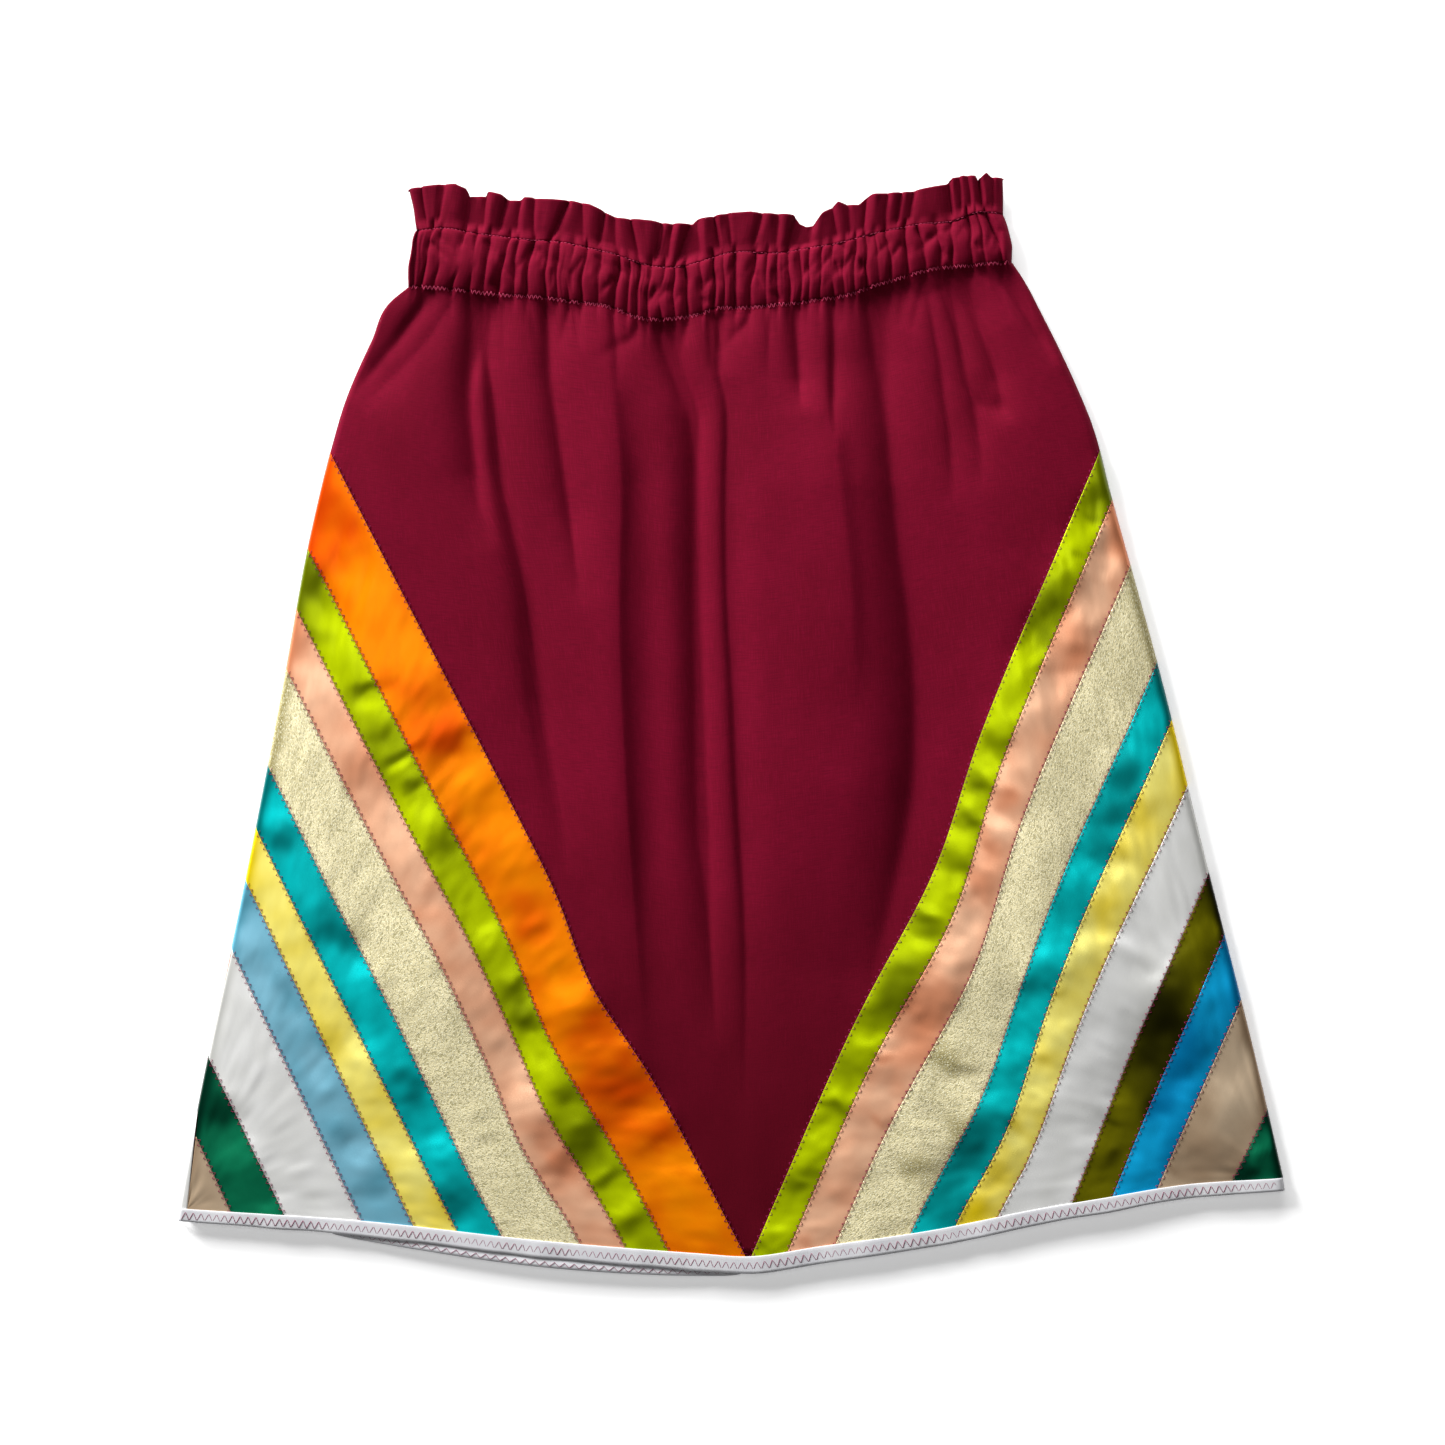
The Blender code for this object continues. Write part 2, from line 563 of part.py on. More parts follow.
def binding_depth(x):
    """Height of the hem binding, least at the corners of the hem."""
    return mix(BINDING_DEPTH_CENTRE, BINDING_DEPTH_CORNER, (x / HEM_RIGHT) ** 2)


def front_binding():
    """The front's hem binding, a folded strip whose upper side covers the ribbons' ends."""
    stations = kept_stations(waist_stations())

    def place(station, row):
        x, y = panel_point(station, 1.0)
        height = panel_top(x, y)
        low_y = y - binding_depth(x)
        y = mix(y - SEAM_GAP / 2, low_y, row)
        return x * mix(1.0, BINDING_FLARE, row), y, height + BINDING_RISE

    bm = map_grid(stations, (0.0, 0.5, 1.0), place)
    face_up(bm)
    thicken(bm, PANEL_WALL + BINDING_RISE)
    return bm


def gather_columns(places):
    """Columns as a valley's number and the share of the way to the next valley."""
    columns = []
    for i in range(len(places) - 1):
        columns += [(i, k / GATHER_COLUMNS) for k in range(GATHER_COLUMNS)]
    return columns + [(len(places) - 2, 1.0)]


def front_casing():
    """The front of the elastic casing, puffed between its two lines of stitches."""
    tops = [STITCH_LEFT] + [row[0] for row in GATHERS] + [STITCH_RIGHT]
    bottoms = [WAIST_LEFT] + [row[1] for row in GATHERS] + [WAIST_RIGHT]

    def place(column, row):
        i, t = column
        top_x = mix(tops[i], tops[i + 1], t)
        bottom_x = mix(bottoms[i], bottoms[i + 1], t)
        puff = math.sin(math.pi * row)
        across = 2 * mix(i, i + 1, t) / (len(tops) - 1) - 1
        bow = END_BOW * puff * across ** END_BOW_POWER
        x = mix(top_x, bottom_x, row) + bow
        top_y = smooth(CASING_TOP, 1, top_x) - SEAM_GAP / 2
        bottom_y = smooth(WAIST_SEAM, 1, bottom_x) + SEAM_GAP / 2
        crest = mix(SEAM_CREST_TOP, CASING_CREST_TOP, puff ** CREST_ROUNDNESS)
        height = mix(crest, VALLEY_TOP, gather_dip(bottom_x))
        ends = rim(bottom_x, WAIST_LEFT, WAIST_RIGHT)
        return x, mix(top_y, bottom_y, row), mix(RIM_TOP, height, ends)

    bm = map_grid(gather_columns(tops), CASING_ROWS, place)
    face_up(bm)
    thicken(bm, PANEL_WALL)
    return bm


def wave_height(i, t):
    """Height from 0 to 1 of the header between two of its valleys."""
    heights = [FIRST_WAVE_HEIGHT] + [row[3] for row in WAVES]
    depths = [END_DIP] + [row[2] for row in WAVES] + [END_DIP]
    lows = [min(heights[max(k - 1, 0)], heights[min(k, len(heights) - 1)]) * (1 - depths[k])
            for k in range(len(depths))]
    low = mix(lows[i], lows[i + 1], t)
    return low + (heights[i] - low) * math.sin(math.pi * t) ** CREST_ROUNDNESS


def front_header():
    """The ruffled header above the casing, waving more towards its edge."""
    edges = [HEADER_LEFT] + [row[0] for row in WAVES] + [STITCH_RIGHT]
    seams = [STITCH_LEFT] + [row[1] for row in WAVES] + [STITCH_RIGHT]

    def place(column, row):
        i, t = column
        edge_x = mix(edges[i], edges[i + 1], t)
        seam_x = mix(seams[i], seams[i + 1], t)
        seam_y = smooth(CASING_TOP, 1, seam_x) + SEAM_GAP / 2
        y = mix(seam_y, straight(HEADER_EDGE, 1, edge_x), row)
        crest = mix(HEADER_STITCH_CREST_TOP, HEADER_EDGE_CREST_TOP, row ** HEADER_RISE)
        height = mix(VALLEY_TOP, crest, wave_height(i, t))
        ends = rim(seam_x, STITCH_LEFT, STITCH_RIGHT)
        return mix(seam_x, edge_x, row), y, mix(RIM_TOP, height, ends)

    bm = map_grid(gather_columns(edges), HEADER_ROWS, place)
    face_up(bm)
    thicken(bm, PANEL_WALL)
    return bm


def back_panel_outline():
    """The back panel just inside the front's rim, from the left of the waist seam round to the right."""
    waist = [mix(*BACK_WAIST_ENDS, k / BACK_STEPS) for k in range(BACK_STEPS + 1)]
    hem = [mix(*BACK_HEM_ENDS, k / BACK_STEPS) for k in range(BACK_STEPS + 1)]
    top = [(x, smooth(WAIST_SEAM, 1, x) - SEAM_GAP / 2) for x in waist]
    bottom = [(x, smooth(HEM_SEAM, 1, x) + SEAM_GAP / 2) for x in hem]
    right = [panel_point(WAIST_RIGHT, share) for share in PANEL_ROWS[1:-1]]
    left = [panel_point(WAIST_LEFT, share) for share in PANEL_ROWS[1:-1]]
    right = [(x - BACK_INSET, y) for x, y in right]
    left = [(x + BACK_INSET, y) for x, y in left]
    return top + right + bottom[::-1] + left[::-1]


def back_binding_outline():
    """The back's hem binding, which shows below the front's on the left half."""
    upper = []
    lower = []
    for k in range(BACK_STEPS + 1):
        x = mix(*BACK_HEM_ENDS, k / BACK_STEPS)
        y = smooth(HEM_SEAM, 1, x)
        across = (x - BACK_HEM_START) / (BACK_HEM_END - BACK_HEM_START)
        shows = math.sqrt(math.sin(math.pi * across)) if 0 < across < 1 else 0.0
        drop = binding_depth(x) - BACK_HEM_HIDDEN + shows * (BACK_HEM_DROP + BACK_HEM_HIDDEN)
        upper.append((x, y - SEAM_GAP / 2))
        lower.append((x, y - drop))
    return upper + lower[::-1]


def add_flat_piece(name, outline, material, collection, root):
    """A flat piece of the back, cut to its outline and resting on the surface."""
    curve = bpy.data.curves.new(name, "CURVE")
    curve.dimensions = "2D"
    curve.fill_mode = "BOTH"
    curve.extrude = BACK_WALL / 2 * MM
    spline = curve.splines.new("POLY")
    spline.points.add(len(outline) - 1)
    for point, (x, y) in zip(spline.points, outline):
        point.co = (x * MM, y * MM, 0, 1)
    spline.use_cyclic_u = True
    curve.materials.append(material)
    piece = bpy.data.objects.new(name, curve)
    piece.location.z = BACK_WALL / 2 * MM
    piece.parent = root
    collection.objects.link(piece)
    return piece


def back_wave(x):
    """Height of the back's waist above the surface, flat wherever it rests."""
    wave = math.sin(2 * math.pi * x / BACK_WAVE_LENGTH)
    return BACK_WAVE_HEIGHT * max(0.0, wave)


def back_strip(lower_ends, upper_ends, lower, upper):
    """A gathered strip of the back between two lines, its underside pressed flat."""

    def place(fraction, row):
        low_x = mix(*lower_ends, fraction)
        high_x = mix(*upper_ends, fraction)
        x = mix(low_x, high_x, row)
        return x, mix(lower(low_x), upper(high_x), row), BACK_WALL + back_wave(x)

    bm = map_grid([k / BACK_WAIST_STEPS for k in range(BACK_WAIST_STEPS + 1)], (0.0, 1.0), place)
    face_up(bm)
    thicken(bm, BACK_WALL)
    return bm


def back_casing():
    """The back of the casing, from the waist seam to the upper stitches."""
    return back_strip(BACK_WAIST_ENDS, BACK_STITCH_ENDS,
                      lambda x: smooth(WAIST_SEAM, 1, x) + SEAM_GAP / 2,
                      lambda x: smooth(CASING_TOP, 1, x) - SEAM_GAP / 2)


def back_header():
    """The back of the header, a little lower than the front's edge."""
    return back_strip(BACK_STITCH_ENDS, BACK_STITCH_ENDS,
                      lambda x: smooth(CASING_TOP, 1, x) + SEAM_GAP / 2,
                      lambda x: straight(HEADER_EDGE, 1, x) - BACK_HEADER_LOWER)


def clear_scene():
    for item in list(bpy.data.objects):
        bpy.data.objects.remove(item, do_unlink=True)


def main():
    clear_scene()
    collection = bpy.data.collections.new(COLLECTION_NAME)
    bpy.context.scene.collection.children.link(collection)
    root = bpy.data.objects.new("skirt_root", None)
    collection.objects.link(root)
    burgundy = cloth_material("burgundy_cotton", BURGUNDY, 0.8)
    binding = cloth_material("hem_binding", BINDING_WHITE, 0.5)
    front_pieces(collection, root, burgundy)
    add_piece("hem_binding_front", front_binding(), binding, collection, root)
    add_flat_piece("hem_binding_back", back_binding_outline(), binding, collection, root)
    add_piece("front_casing", front_casing(), burgundy, collection, root)
    add_piece("front_header", front_header(), burgundy, collection, root)
    add_flat_piece("back_panel", back_panel_outline(), burgundy, collection, root)
    add_piece("back_casing", back_casing(), burgundy, collection, root)
    add_piece("back_header", back_header(), burgundy, collection, root)


main()
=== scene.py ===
"""The ribbon skirt, dressed: cotton, satin and lame cloth with its stitches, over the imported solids.

Tables are in millimetres, seen from above: +X to the right, +Y towards the waist, +Z up from the
surface that the skirt lies on. Pieces are made in metres.
"""
import math

import bpy
import numpy as np
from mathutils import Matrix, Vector


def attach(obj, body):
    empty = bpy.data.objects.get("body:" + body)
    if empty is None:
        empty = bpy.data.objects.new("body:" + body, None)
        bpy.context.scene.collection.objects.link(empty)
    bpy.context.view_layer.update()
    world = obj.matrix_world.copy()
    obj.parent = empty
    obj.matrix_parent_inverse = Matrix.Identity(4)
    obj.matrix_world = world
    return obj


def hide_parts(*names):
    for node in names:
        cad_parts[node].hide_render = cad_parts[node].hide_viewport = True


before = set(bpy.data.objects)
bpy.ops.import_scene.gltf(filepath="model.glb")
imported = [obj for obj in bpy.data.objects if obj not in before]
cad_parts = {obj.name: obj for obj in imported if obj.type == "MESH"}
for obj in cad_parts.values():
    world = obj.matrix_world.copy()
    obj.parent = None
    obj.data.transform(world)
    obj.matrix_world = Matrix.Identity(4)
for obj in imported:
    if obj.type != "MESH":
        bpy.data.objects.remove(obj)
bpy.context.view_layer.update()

MM = 0.001

# Walls of the cloth and the gaps between its layers
COTTON = 0.9
SATIN = 0.7
RIBBON_GAP = 0.4
# How far the ribbons' ends run in under the binding, and round the skirt's side
TUCK = 2.5
BACK_LAYER = 1.5

# Heights of the front's upper side
VALLEY_TOP = 5.0
SEAM_CREST_TOP = 10.2
CASING_CREST_TOP = 13.2
HEADER_STITCH_CREST_TOP = 10.0
HEADER_EDGE_CREST_TOP = 14.0
PANEL_TOP_AT_WAIST = 14.2
PANEL_TOP_AT_HEM = 5.8
WAIST_FALL = 1.5
LOWEST_PANEL_TOP = 3.4
SOFTEST_STOP = 1.6
SIDE_TOPS = (10.0, 5.6)
SIDE_RISE = 60.0
RIM_TOP = 2.6

# Corners of the front panel, and the ends of the header's foot
WAIST_LEFT = -223.0
WAIST_RIGHT = 194.0
HEM_LEFT = -381.0
HEM_RIGHT = 381.0
STITCH_LEFT = -217.0
STITCH_RIGHT = 188.0
HEADER_LEFT = -222.0
RIM_WIDTHS = (1.8, 6.5)
BACK_INSET = 2.8
END_DIP = 0.45
CREST_ROUNDNESS = 0.6
GATHER_FADE = 0.010
# A gather's foot: how far it reaches on its left and on its right, and its share of the depth
FOOT_REACH = (1.7, 0.8)
FOOT_SHARE = 0.84
WAVE_FOOT = 1.8
CREASE_RADIUS = 0.7
END_BOW = 3.0
END_BOW_POWER = 15

# Hem binding
BINDING_DEPTH_CENTRE = 12.3
BINDING_DEPTH_CORNER = 8.8
BINDING_FLARE = 1.003
BACK_HEM = (-277.0, 8.0, 6.5)

# x, y
WAIST_SEAM = (
    (-223, 302), (-193, 300), (-159, 296), (-128, 294), (-106, 291), (-81, 287), (-66, 281), (-38, 280),
    (-21, 283), (-10, 287), (4, 287), (32, 289), (61, 293), (80, 296), (97, 302), (114, 307), (139, 314),
    (159, 316), (194, 319),
)
# x, y
CASING_TOP = (
    (-217, 340), (-201, 342), (-173, 338), (-139, 334), (-115, 332), (-97, 328), (-77, 323), (-66, 319),
    (-55, 316), (-32, 316), (-21, 319), (-1, 325), (35, 325), (52, 328), (75, 332), (97, 338), (111, 341),
    (131, 345), (153, 347), (170, 353), (188, 352),
)
# x, y, with a drop where one wave lies over the next
HEADER_EDGE = (
    (-222, 369), (-217, 370), (-201, 372), (-190, 372), (-182, 369), (-180, 364), (-169, 364), (-167, 367),
    (-158, 365), (-152, 361), (-146, 361), (-143, 363), (-137, 363), (-135, 362), (-111, 361), (-97, 358),
    (-85, 352), (-78, 349), (-56, 347), (-42, 345), (-26, 345), (-23, 348), (-13, 350), (-2, 352), (13, 353),
    (23, 352), (43, 351), (47, 345), (52, 343), (57, 344), (63, 352), (70, 356), (74, 360), (81, 358),
    (88, 358), (93, 363), (97, 365), (110, 366), (124, 367), (148, 372), (152, 376), (160, 378), (168, 378),
    (170, 375), (174, 378), (176, 380), (179, 377), (188, 377),
)
# x, y
HEM_SEAM = (
    (-381, -334), (-249, -343), (-132, -356), (-21, -365), (10, -367), (62, -360), (144, -348), (213, -334),
    (255, -327), (310, -318), (381, -313),
)
# Heights in plan of the waist seam and of the hem seam at the left side and at the right side
LEFT_SPAN = (302, -334)
RIGHT_SPAN = (319, -313)
# share of the panel's length below the waist seam, x of the left side, x of the right side
SIDES = (
    (0.0, -223, 194), (0.014, -234, 200), (0.058, -248, 215), (0.123, -266, 235), (0.176, -276, 249),
    (0.253, -288, 262), (0.448, -311, 296), (0.666, -338, 330), (0.883, -367, 364), (1.0, -381, 381),
)
# Columns of the panel follow its long folds: x of each at these shares of the length
GUIDE_SHARES = (0.0, 0.1, 0.2, 0.3, 0.45, 0.6, 0.8, 1.0)
GUIDES = (
    (-171, -180, -174, -149, -128, -112, -97, -85),
    (-128, -120, -113, -106, -94, -82, -72, -62),
    (-81, -75, -70, -66, -63, -57, -40, -30),
    (-39, -27, -24, -23, -19, -13, -7, -4),
    (-12, -4, -5, -3, 0, 5, 4, 10),
    (71, 70, 78, 83, 88, 92, 96, 100),
    (94, 107, 113, 118, 129, 135, 142, 150),
    (152, 175, 196, 205, 219, 235, 250, 262),
)
# The casing's gathers: x of the valley at the upper stitches, x at the waist seam, depth from 0 to 1
GATHERS = (
    (-216, -219, 0.6), (-205, -214, 0.9), (-199, -205, 0.4), (-183, -193, 1.0), (-175, -181, 0.9),
    (-166, -171, 0.5), (-152, -161, 1.0), (-146, -150, 0.4), (-135, -141, 0.8), (-125, -128, 1.0),
    (-118, -120, 0.4), (-108, -112, 0.7), (-99, -103, 0.9), (-89, -92, 0.3), (-77, -81, 1.0),
    (-70, -72, 0.5), (-63, -65, 0.7), (-55, -58, 0.7), (-46, -48, 1.0), (-39, -39, 0.6), (-32, -30, 1.0),
    (-22, -20, 0.5), (-12, -12, 1.0), (-5, -5, 0.4), (3, 3, 0.9), (17, 13, 0.7), (25, 24, 0.5),
    (32, 32, 0.5), (39, 40, 0.9), (47, 47, 0.8), (54, 53, 0.6), (63, 61, 0.6), (70, 71, 0.9),
    (79, 78, 0.4), (86, 85, 0.8), (92, 94, 1.0), (99, 102, 0.3), (106, 110, 0.9), (120, 122, 1.0),
    (128, 134, 0.5), (141, 144, 0.7), (152, 152, 0.8), (163, 166, 1.0), (169, 175, 0.4), (175, 187, 1.0),
)
# The header's waves: x of the valley at the edge, x at the upper stitches, valley depth from 0 to 1,
# and the height from 0 to 1 of the wave to its right
FIRST_WAVE_HEIGHT = 0.5
HEADER_START = 0.3
WAVES = (
    (-214, -209, 0.8, 0.6), (-197, -203, 0.5, 0.8), (-180, -183, 1.0, 0.2), (-168, -171, 0.6, 0.9),
    (-154, -161, 0.9, 0.5), (-145, -148, 0.6, 0.7), (-136, -136, 0.6, 0.8), (-112, -124, 0.9, 0.6),
    (-103, -101, 0.6, 0.7), (-87, -92, 0.9, 0.5), (-80, -79, 0.5, 0.6), (-70, -62, 0.9, 0.8),
    (-47, -53, 0.9, 0.4), (-41, -44, 0.7, 0.7), (-28, -38, 1.0, 0.1), (-23, -21, 0.9, 0.9),
    (-12, -7, 0.9, 0.8), (-2, 1, 0.5, 0.8), (22, 14, 0.5, 0.8), (33, 31, 0.4, 0.9), (44, 39, 1.0, 0.1),
    (57, 53, 0.3, 0.7), (70, 74, 0.8, 0.7), (81, 82, 0.5, 0.5), (93, 91, 0.8, 0.9), (108, 106, 0.5, 0.8),
    (117, 114, 0.6, 0.6), (126, 122, 0.5, 0.8), (150, 153, 1.0, 0.8), (157, 159, 0.5, 0.6),
    (163, 166, 0.5, 0.7), (171, 174, 1.0, 0.9), (180, 181, 0.4, 0.4),
)
# Creases: depth, width of the left and of the right flank, and the path as x, y from the waist down
LONG_FOLDS = (
    (3.9, 8, 16, ((-209, 300), (-226, 271), (-241, 252), (-263, 224))),
    (2.4, 9, 20, ((-195, 287), (-215, 258), (-257, 217))),
    (9.0, 11, 6, ((-171, 297), (-181, 239), (-180, 203), (-174, 155), (-163, 120))),
    (7.4, 5, 20, ((-174, 292), (-168, 250), (-163, 203), (-159, 165), (-142, 86), (-134, 17), (-121, -52),
                  (-112, -105))),
    (6.2, 7, 14, ((-128, 293), (-126, 245), (-122, 215), (-115, 167), (-108, 120), (-103, 80))),
    (10.0, 10, 9, ((-46, 272), (-39, 250), (-27, 221), (-25, 203), (-25, 155), (-24, 86), (-22, 17),
                   (-20, -52), (-14, -156), (-10, -220))),
    (3.5, 12, 4, ((-44, 262), (-32, 235), (-25, 215), (-24, 185))),
    (3.2, 4.0, 14, ((-8, 280), (-9, 245), (-3, 215), (-4, 155), (-3, 86), (1, 17), (4, -52), (10, -156),
                    (9, -270))),
    (4.0, 8, 14, ((41, 293), (43, 272), (46, 245), (49, 214))),
    (3.6, 2.5, 8, ((67, 293), (70, 272), (70, 222), (72, 196))),
    (9.5, 15, 30, ((97, 293), (101, 272), (103, 245), (106, 220), (110, 169), (115, 120), (120, 86),
                   (126, 17), (123, -52), (110, -121), (92, -195))),
    (2.8, 5, 10, ((136, 296), (144, 250), (147, 224), (151, 196), (153, 150))),
    (3.8, 7, 11, ((146, 300), (158, 262), (162, 240), (167, 222), (172, 190), (172, 160))),
    (6.2, 9, 10, ((156, 312), (172, 272), (182, 245), (187, 222), (191, 206))),
    (3.9, 5, 12, ((188, 315), (202, 285), (224, 248))),
    (2.1, 5, 9, ((173, 221), (182, 217), (191, 224))),
)
# Soft folds: depth, negative for a ridge, then as above
SOFT_FOLDS = (
    (-3.0, 24, 5, ((-88, 272), (-82, 224), (-76, 169), (-78, 86), (-74, -24), (-68, -120), (-60, -230))),
    (3.6, 13, 15, ((-70, 260), (-67, 224), (-62, 169), (-59, 86), (-58, -24), (-52, -120), (-46, -200))),
    (1.8, 7, 12, ((2, 240), (3, 169), (4, 86), (9, -24), (14, -150))),
    (-2.4, 30, 7, ((66, 230), (70, 200), (76, 150), (82, 86), (84, 10))),
    (-6.0, 60, 50, ((84, 250), (86, 86), (88, -30), (80, -170))),
    (-3.2, 30, 26, ((-240, 60), (-215, -60), (-190, -200), (-170, -300))),
    (-3.2, 30, 26, ((190, 120), (205, -40), (225, -180), (245, -280))),
)
SEAM_FOLDS = (
    (2.2, 3.5, 7.7, ((-209, 300), (-214, 287), (-228, 269), (-235, 254))),
    (1.6, 3.0, 6.6, ((-172, 300), (-175, 269), (-177, 232))),
    (1.4, 3.0, 8.8, ((-158, 293), (-157, 269), (-156, 247))),
    (1.4, 3.0, 6.6, ((-140, 293), (-135, 269), (-134, 259))),
    (1.4, 3.0, 6.6, ((-127, 293), (-126, 269), (-125, 238))),
    (1.6, 3.0, 8.8, ((-111, 289), (-116, 269), (-118, 255))),
    (1.8, 2.0, 8.8, ((-109, 291), (-106, 269), (-105, 258))),
    (2.6, 3.5, 8.8, ((-82, 287), (-80, 269), (-79, 257), (-78, 230))),
    (2.2, 3.0, 6.6, ((-59, 285), (-63, 278), (-70, 265), (-78, 262), (-96, 250))),
    (2.0, 3.0, 6.6, ((-57, 285), (-56, 279), (-43, 265), (-40, 259))),
    (2.6, 3.0, 7.7, ((-43, 278), (-41, 258), (-38, 243), (-34, 208))),
    (1.6, 3.0, 6.6, ((-31, 276), (-34, 262), (-37, 242))),
    (2.6, 3.0, 6.6, ((-16, 286), (-14, 258), (-13, 241))),
    (2.2, 2.5, 6.6, ((-10, 280), (-7, 258), (-6, 240))),
    (2.0, 3.0, 6.6, ((12, 286), (10, 276), (-1, 265), (-7, 254))),
    (1.4, 3.0, 6.6, ((27, 286), (26, 262), (25, 233))),
    (2.6, 3.0, 8.8, ((43, 290), (46, 255), (48, 220))),
    (1.4, 2.5, 6.6, ((70, 296), (72, 287), (74, 278), (75, 271))),
    (3.0, 3.5, 8.8, ((95, 301), (98, 272), (100, 257), (104, 209))),
    (1.2, 2.5, 6.6, ((108, 303), (106, 293), (104, 279))),
    (1.2, 2.5, 6.6, ((112, 300), (108, 286), (106, 275))),
    (1.8, 3.0, 7.7, ((119, 303), (117, 283), (116, 271))),
    (1.4, 2.5, 6.6, ((123, 308), (123, 300), (123, 287))),
    (1.8, 3.0, 6.6, ((134, 310), (127, 283), (124, 264))),
    (2.4, 2.2, 8.8, ((149, 314), (156, 276), (160, 242))),
    (2.8, 4.5, 9.9, ((152, 315), (159, 300), (172, 286), (182, 269))),
    (2.4, 4.0, 7.7, ((166, 317), (179, 307), (187, 293), (193, 276))),
    (2.4, 3.5, 7.7, ((188, 317), (191, 303), (203, 285), (209, 269))),
)
CASING_FOLDS = (
    (1.6, 2, 2, ((-148, 315), (-147, 300))),
    (1.8, 2, 2, ((-63, 318), (-58, 306), (-55, 319))),
    (3.0, 3, 3, ((-52, 299), (-59, 287))),
    (1.5, 1.8, 1.8, ((75, 331), (81, 324))),
    (1.5, 1.8, 1.8, ((169, 331), (172, 325))),
    (3.0, 3, 3, ((174, 352), (188, 325))),
    (2.0, 3, 3, ((-164, 303), (-159, 297))),
    (2.0, 3, 3, ((-19, 293), (-14, 289))),
    (2.0, 3, 3, ((31, 296), (37, 290))),
    (2.0, 3, 3, ((146, 326), (150, 319))),
)
# The creases above deepened by these, and the shares of a path over which folds start and fade
LONG_FOLD_DEPTH = 1.15
SEAM_FOLD_DEPTH = 1.9
FOLD_FADE = 0.3
SOFT_FOLD_START = 0.2
# Share of the casing's valleys that close up before they reach its middle, and the casing's lowest top
SHORT_VALLEYS = 0.38
LOWEST_CASING_TOP = 3.0
BEND_STOP = 30.0
# Soft bends where the ribbons run over a lying fold: x, y, reach in x and y, sideways shift, lift
BENDS = (
    (-97, -190, 28, 41, -10.4, 2.0), (-132, -287, 28, 35, -6.2, 1.2), (-208, -163, 28, 41, 2.8, 1.0),
    (144, -142, 31, 76, 13.8, 2.0), (179, -273, 31, 41, 5.5, 1.2), (255, -156, 35, 83, -4.1, 0.8),
)
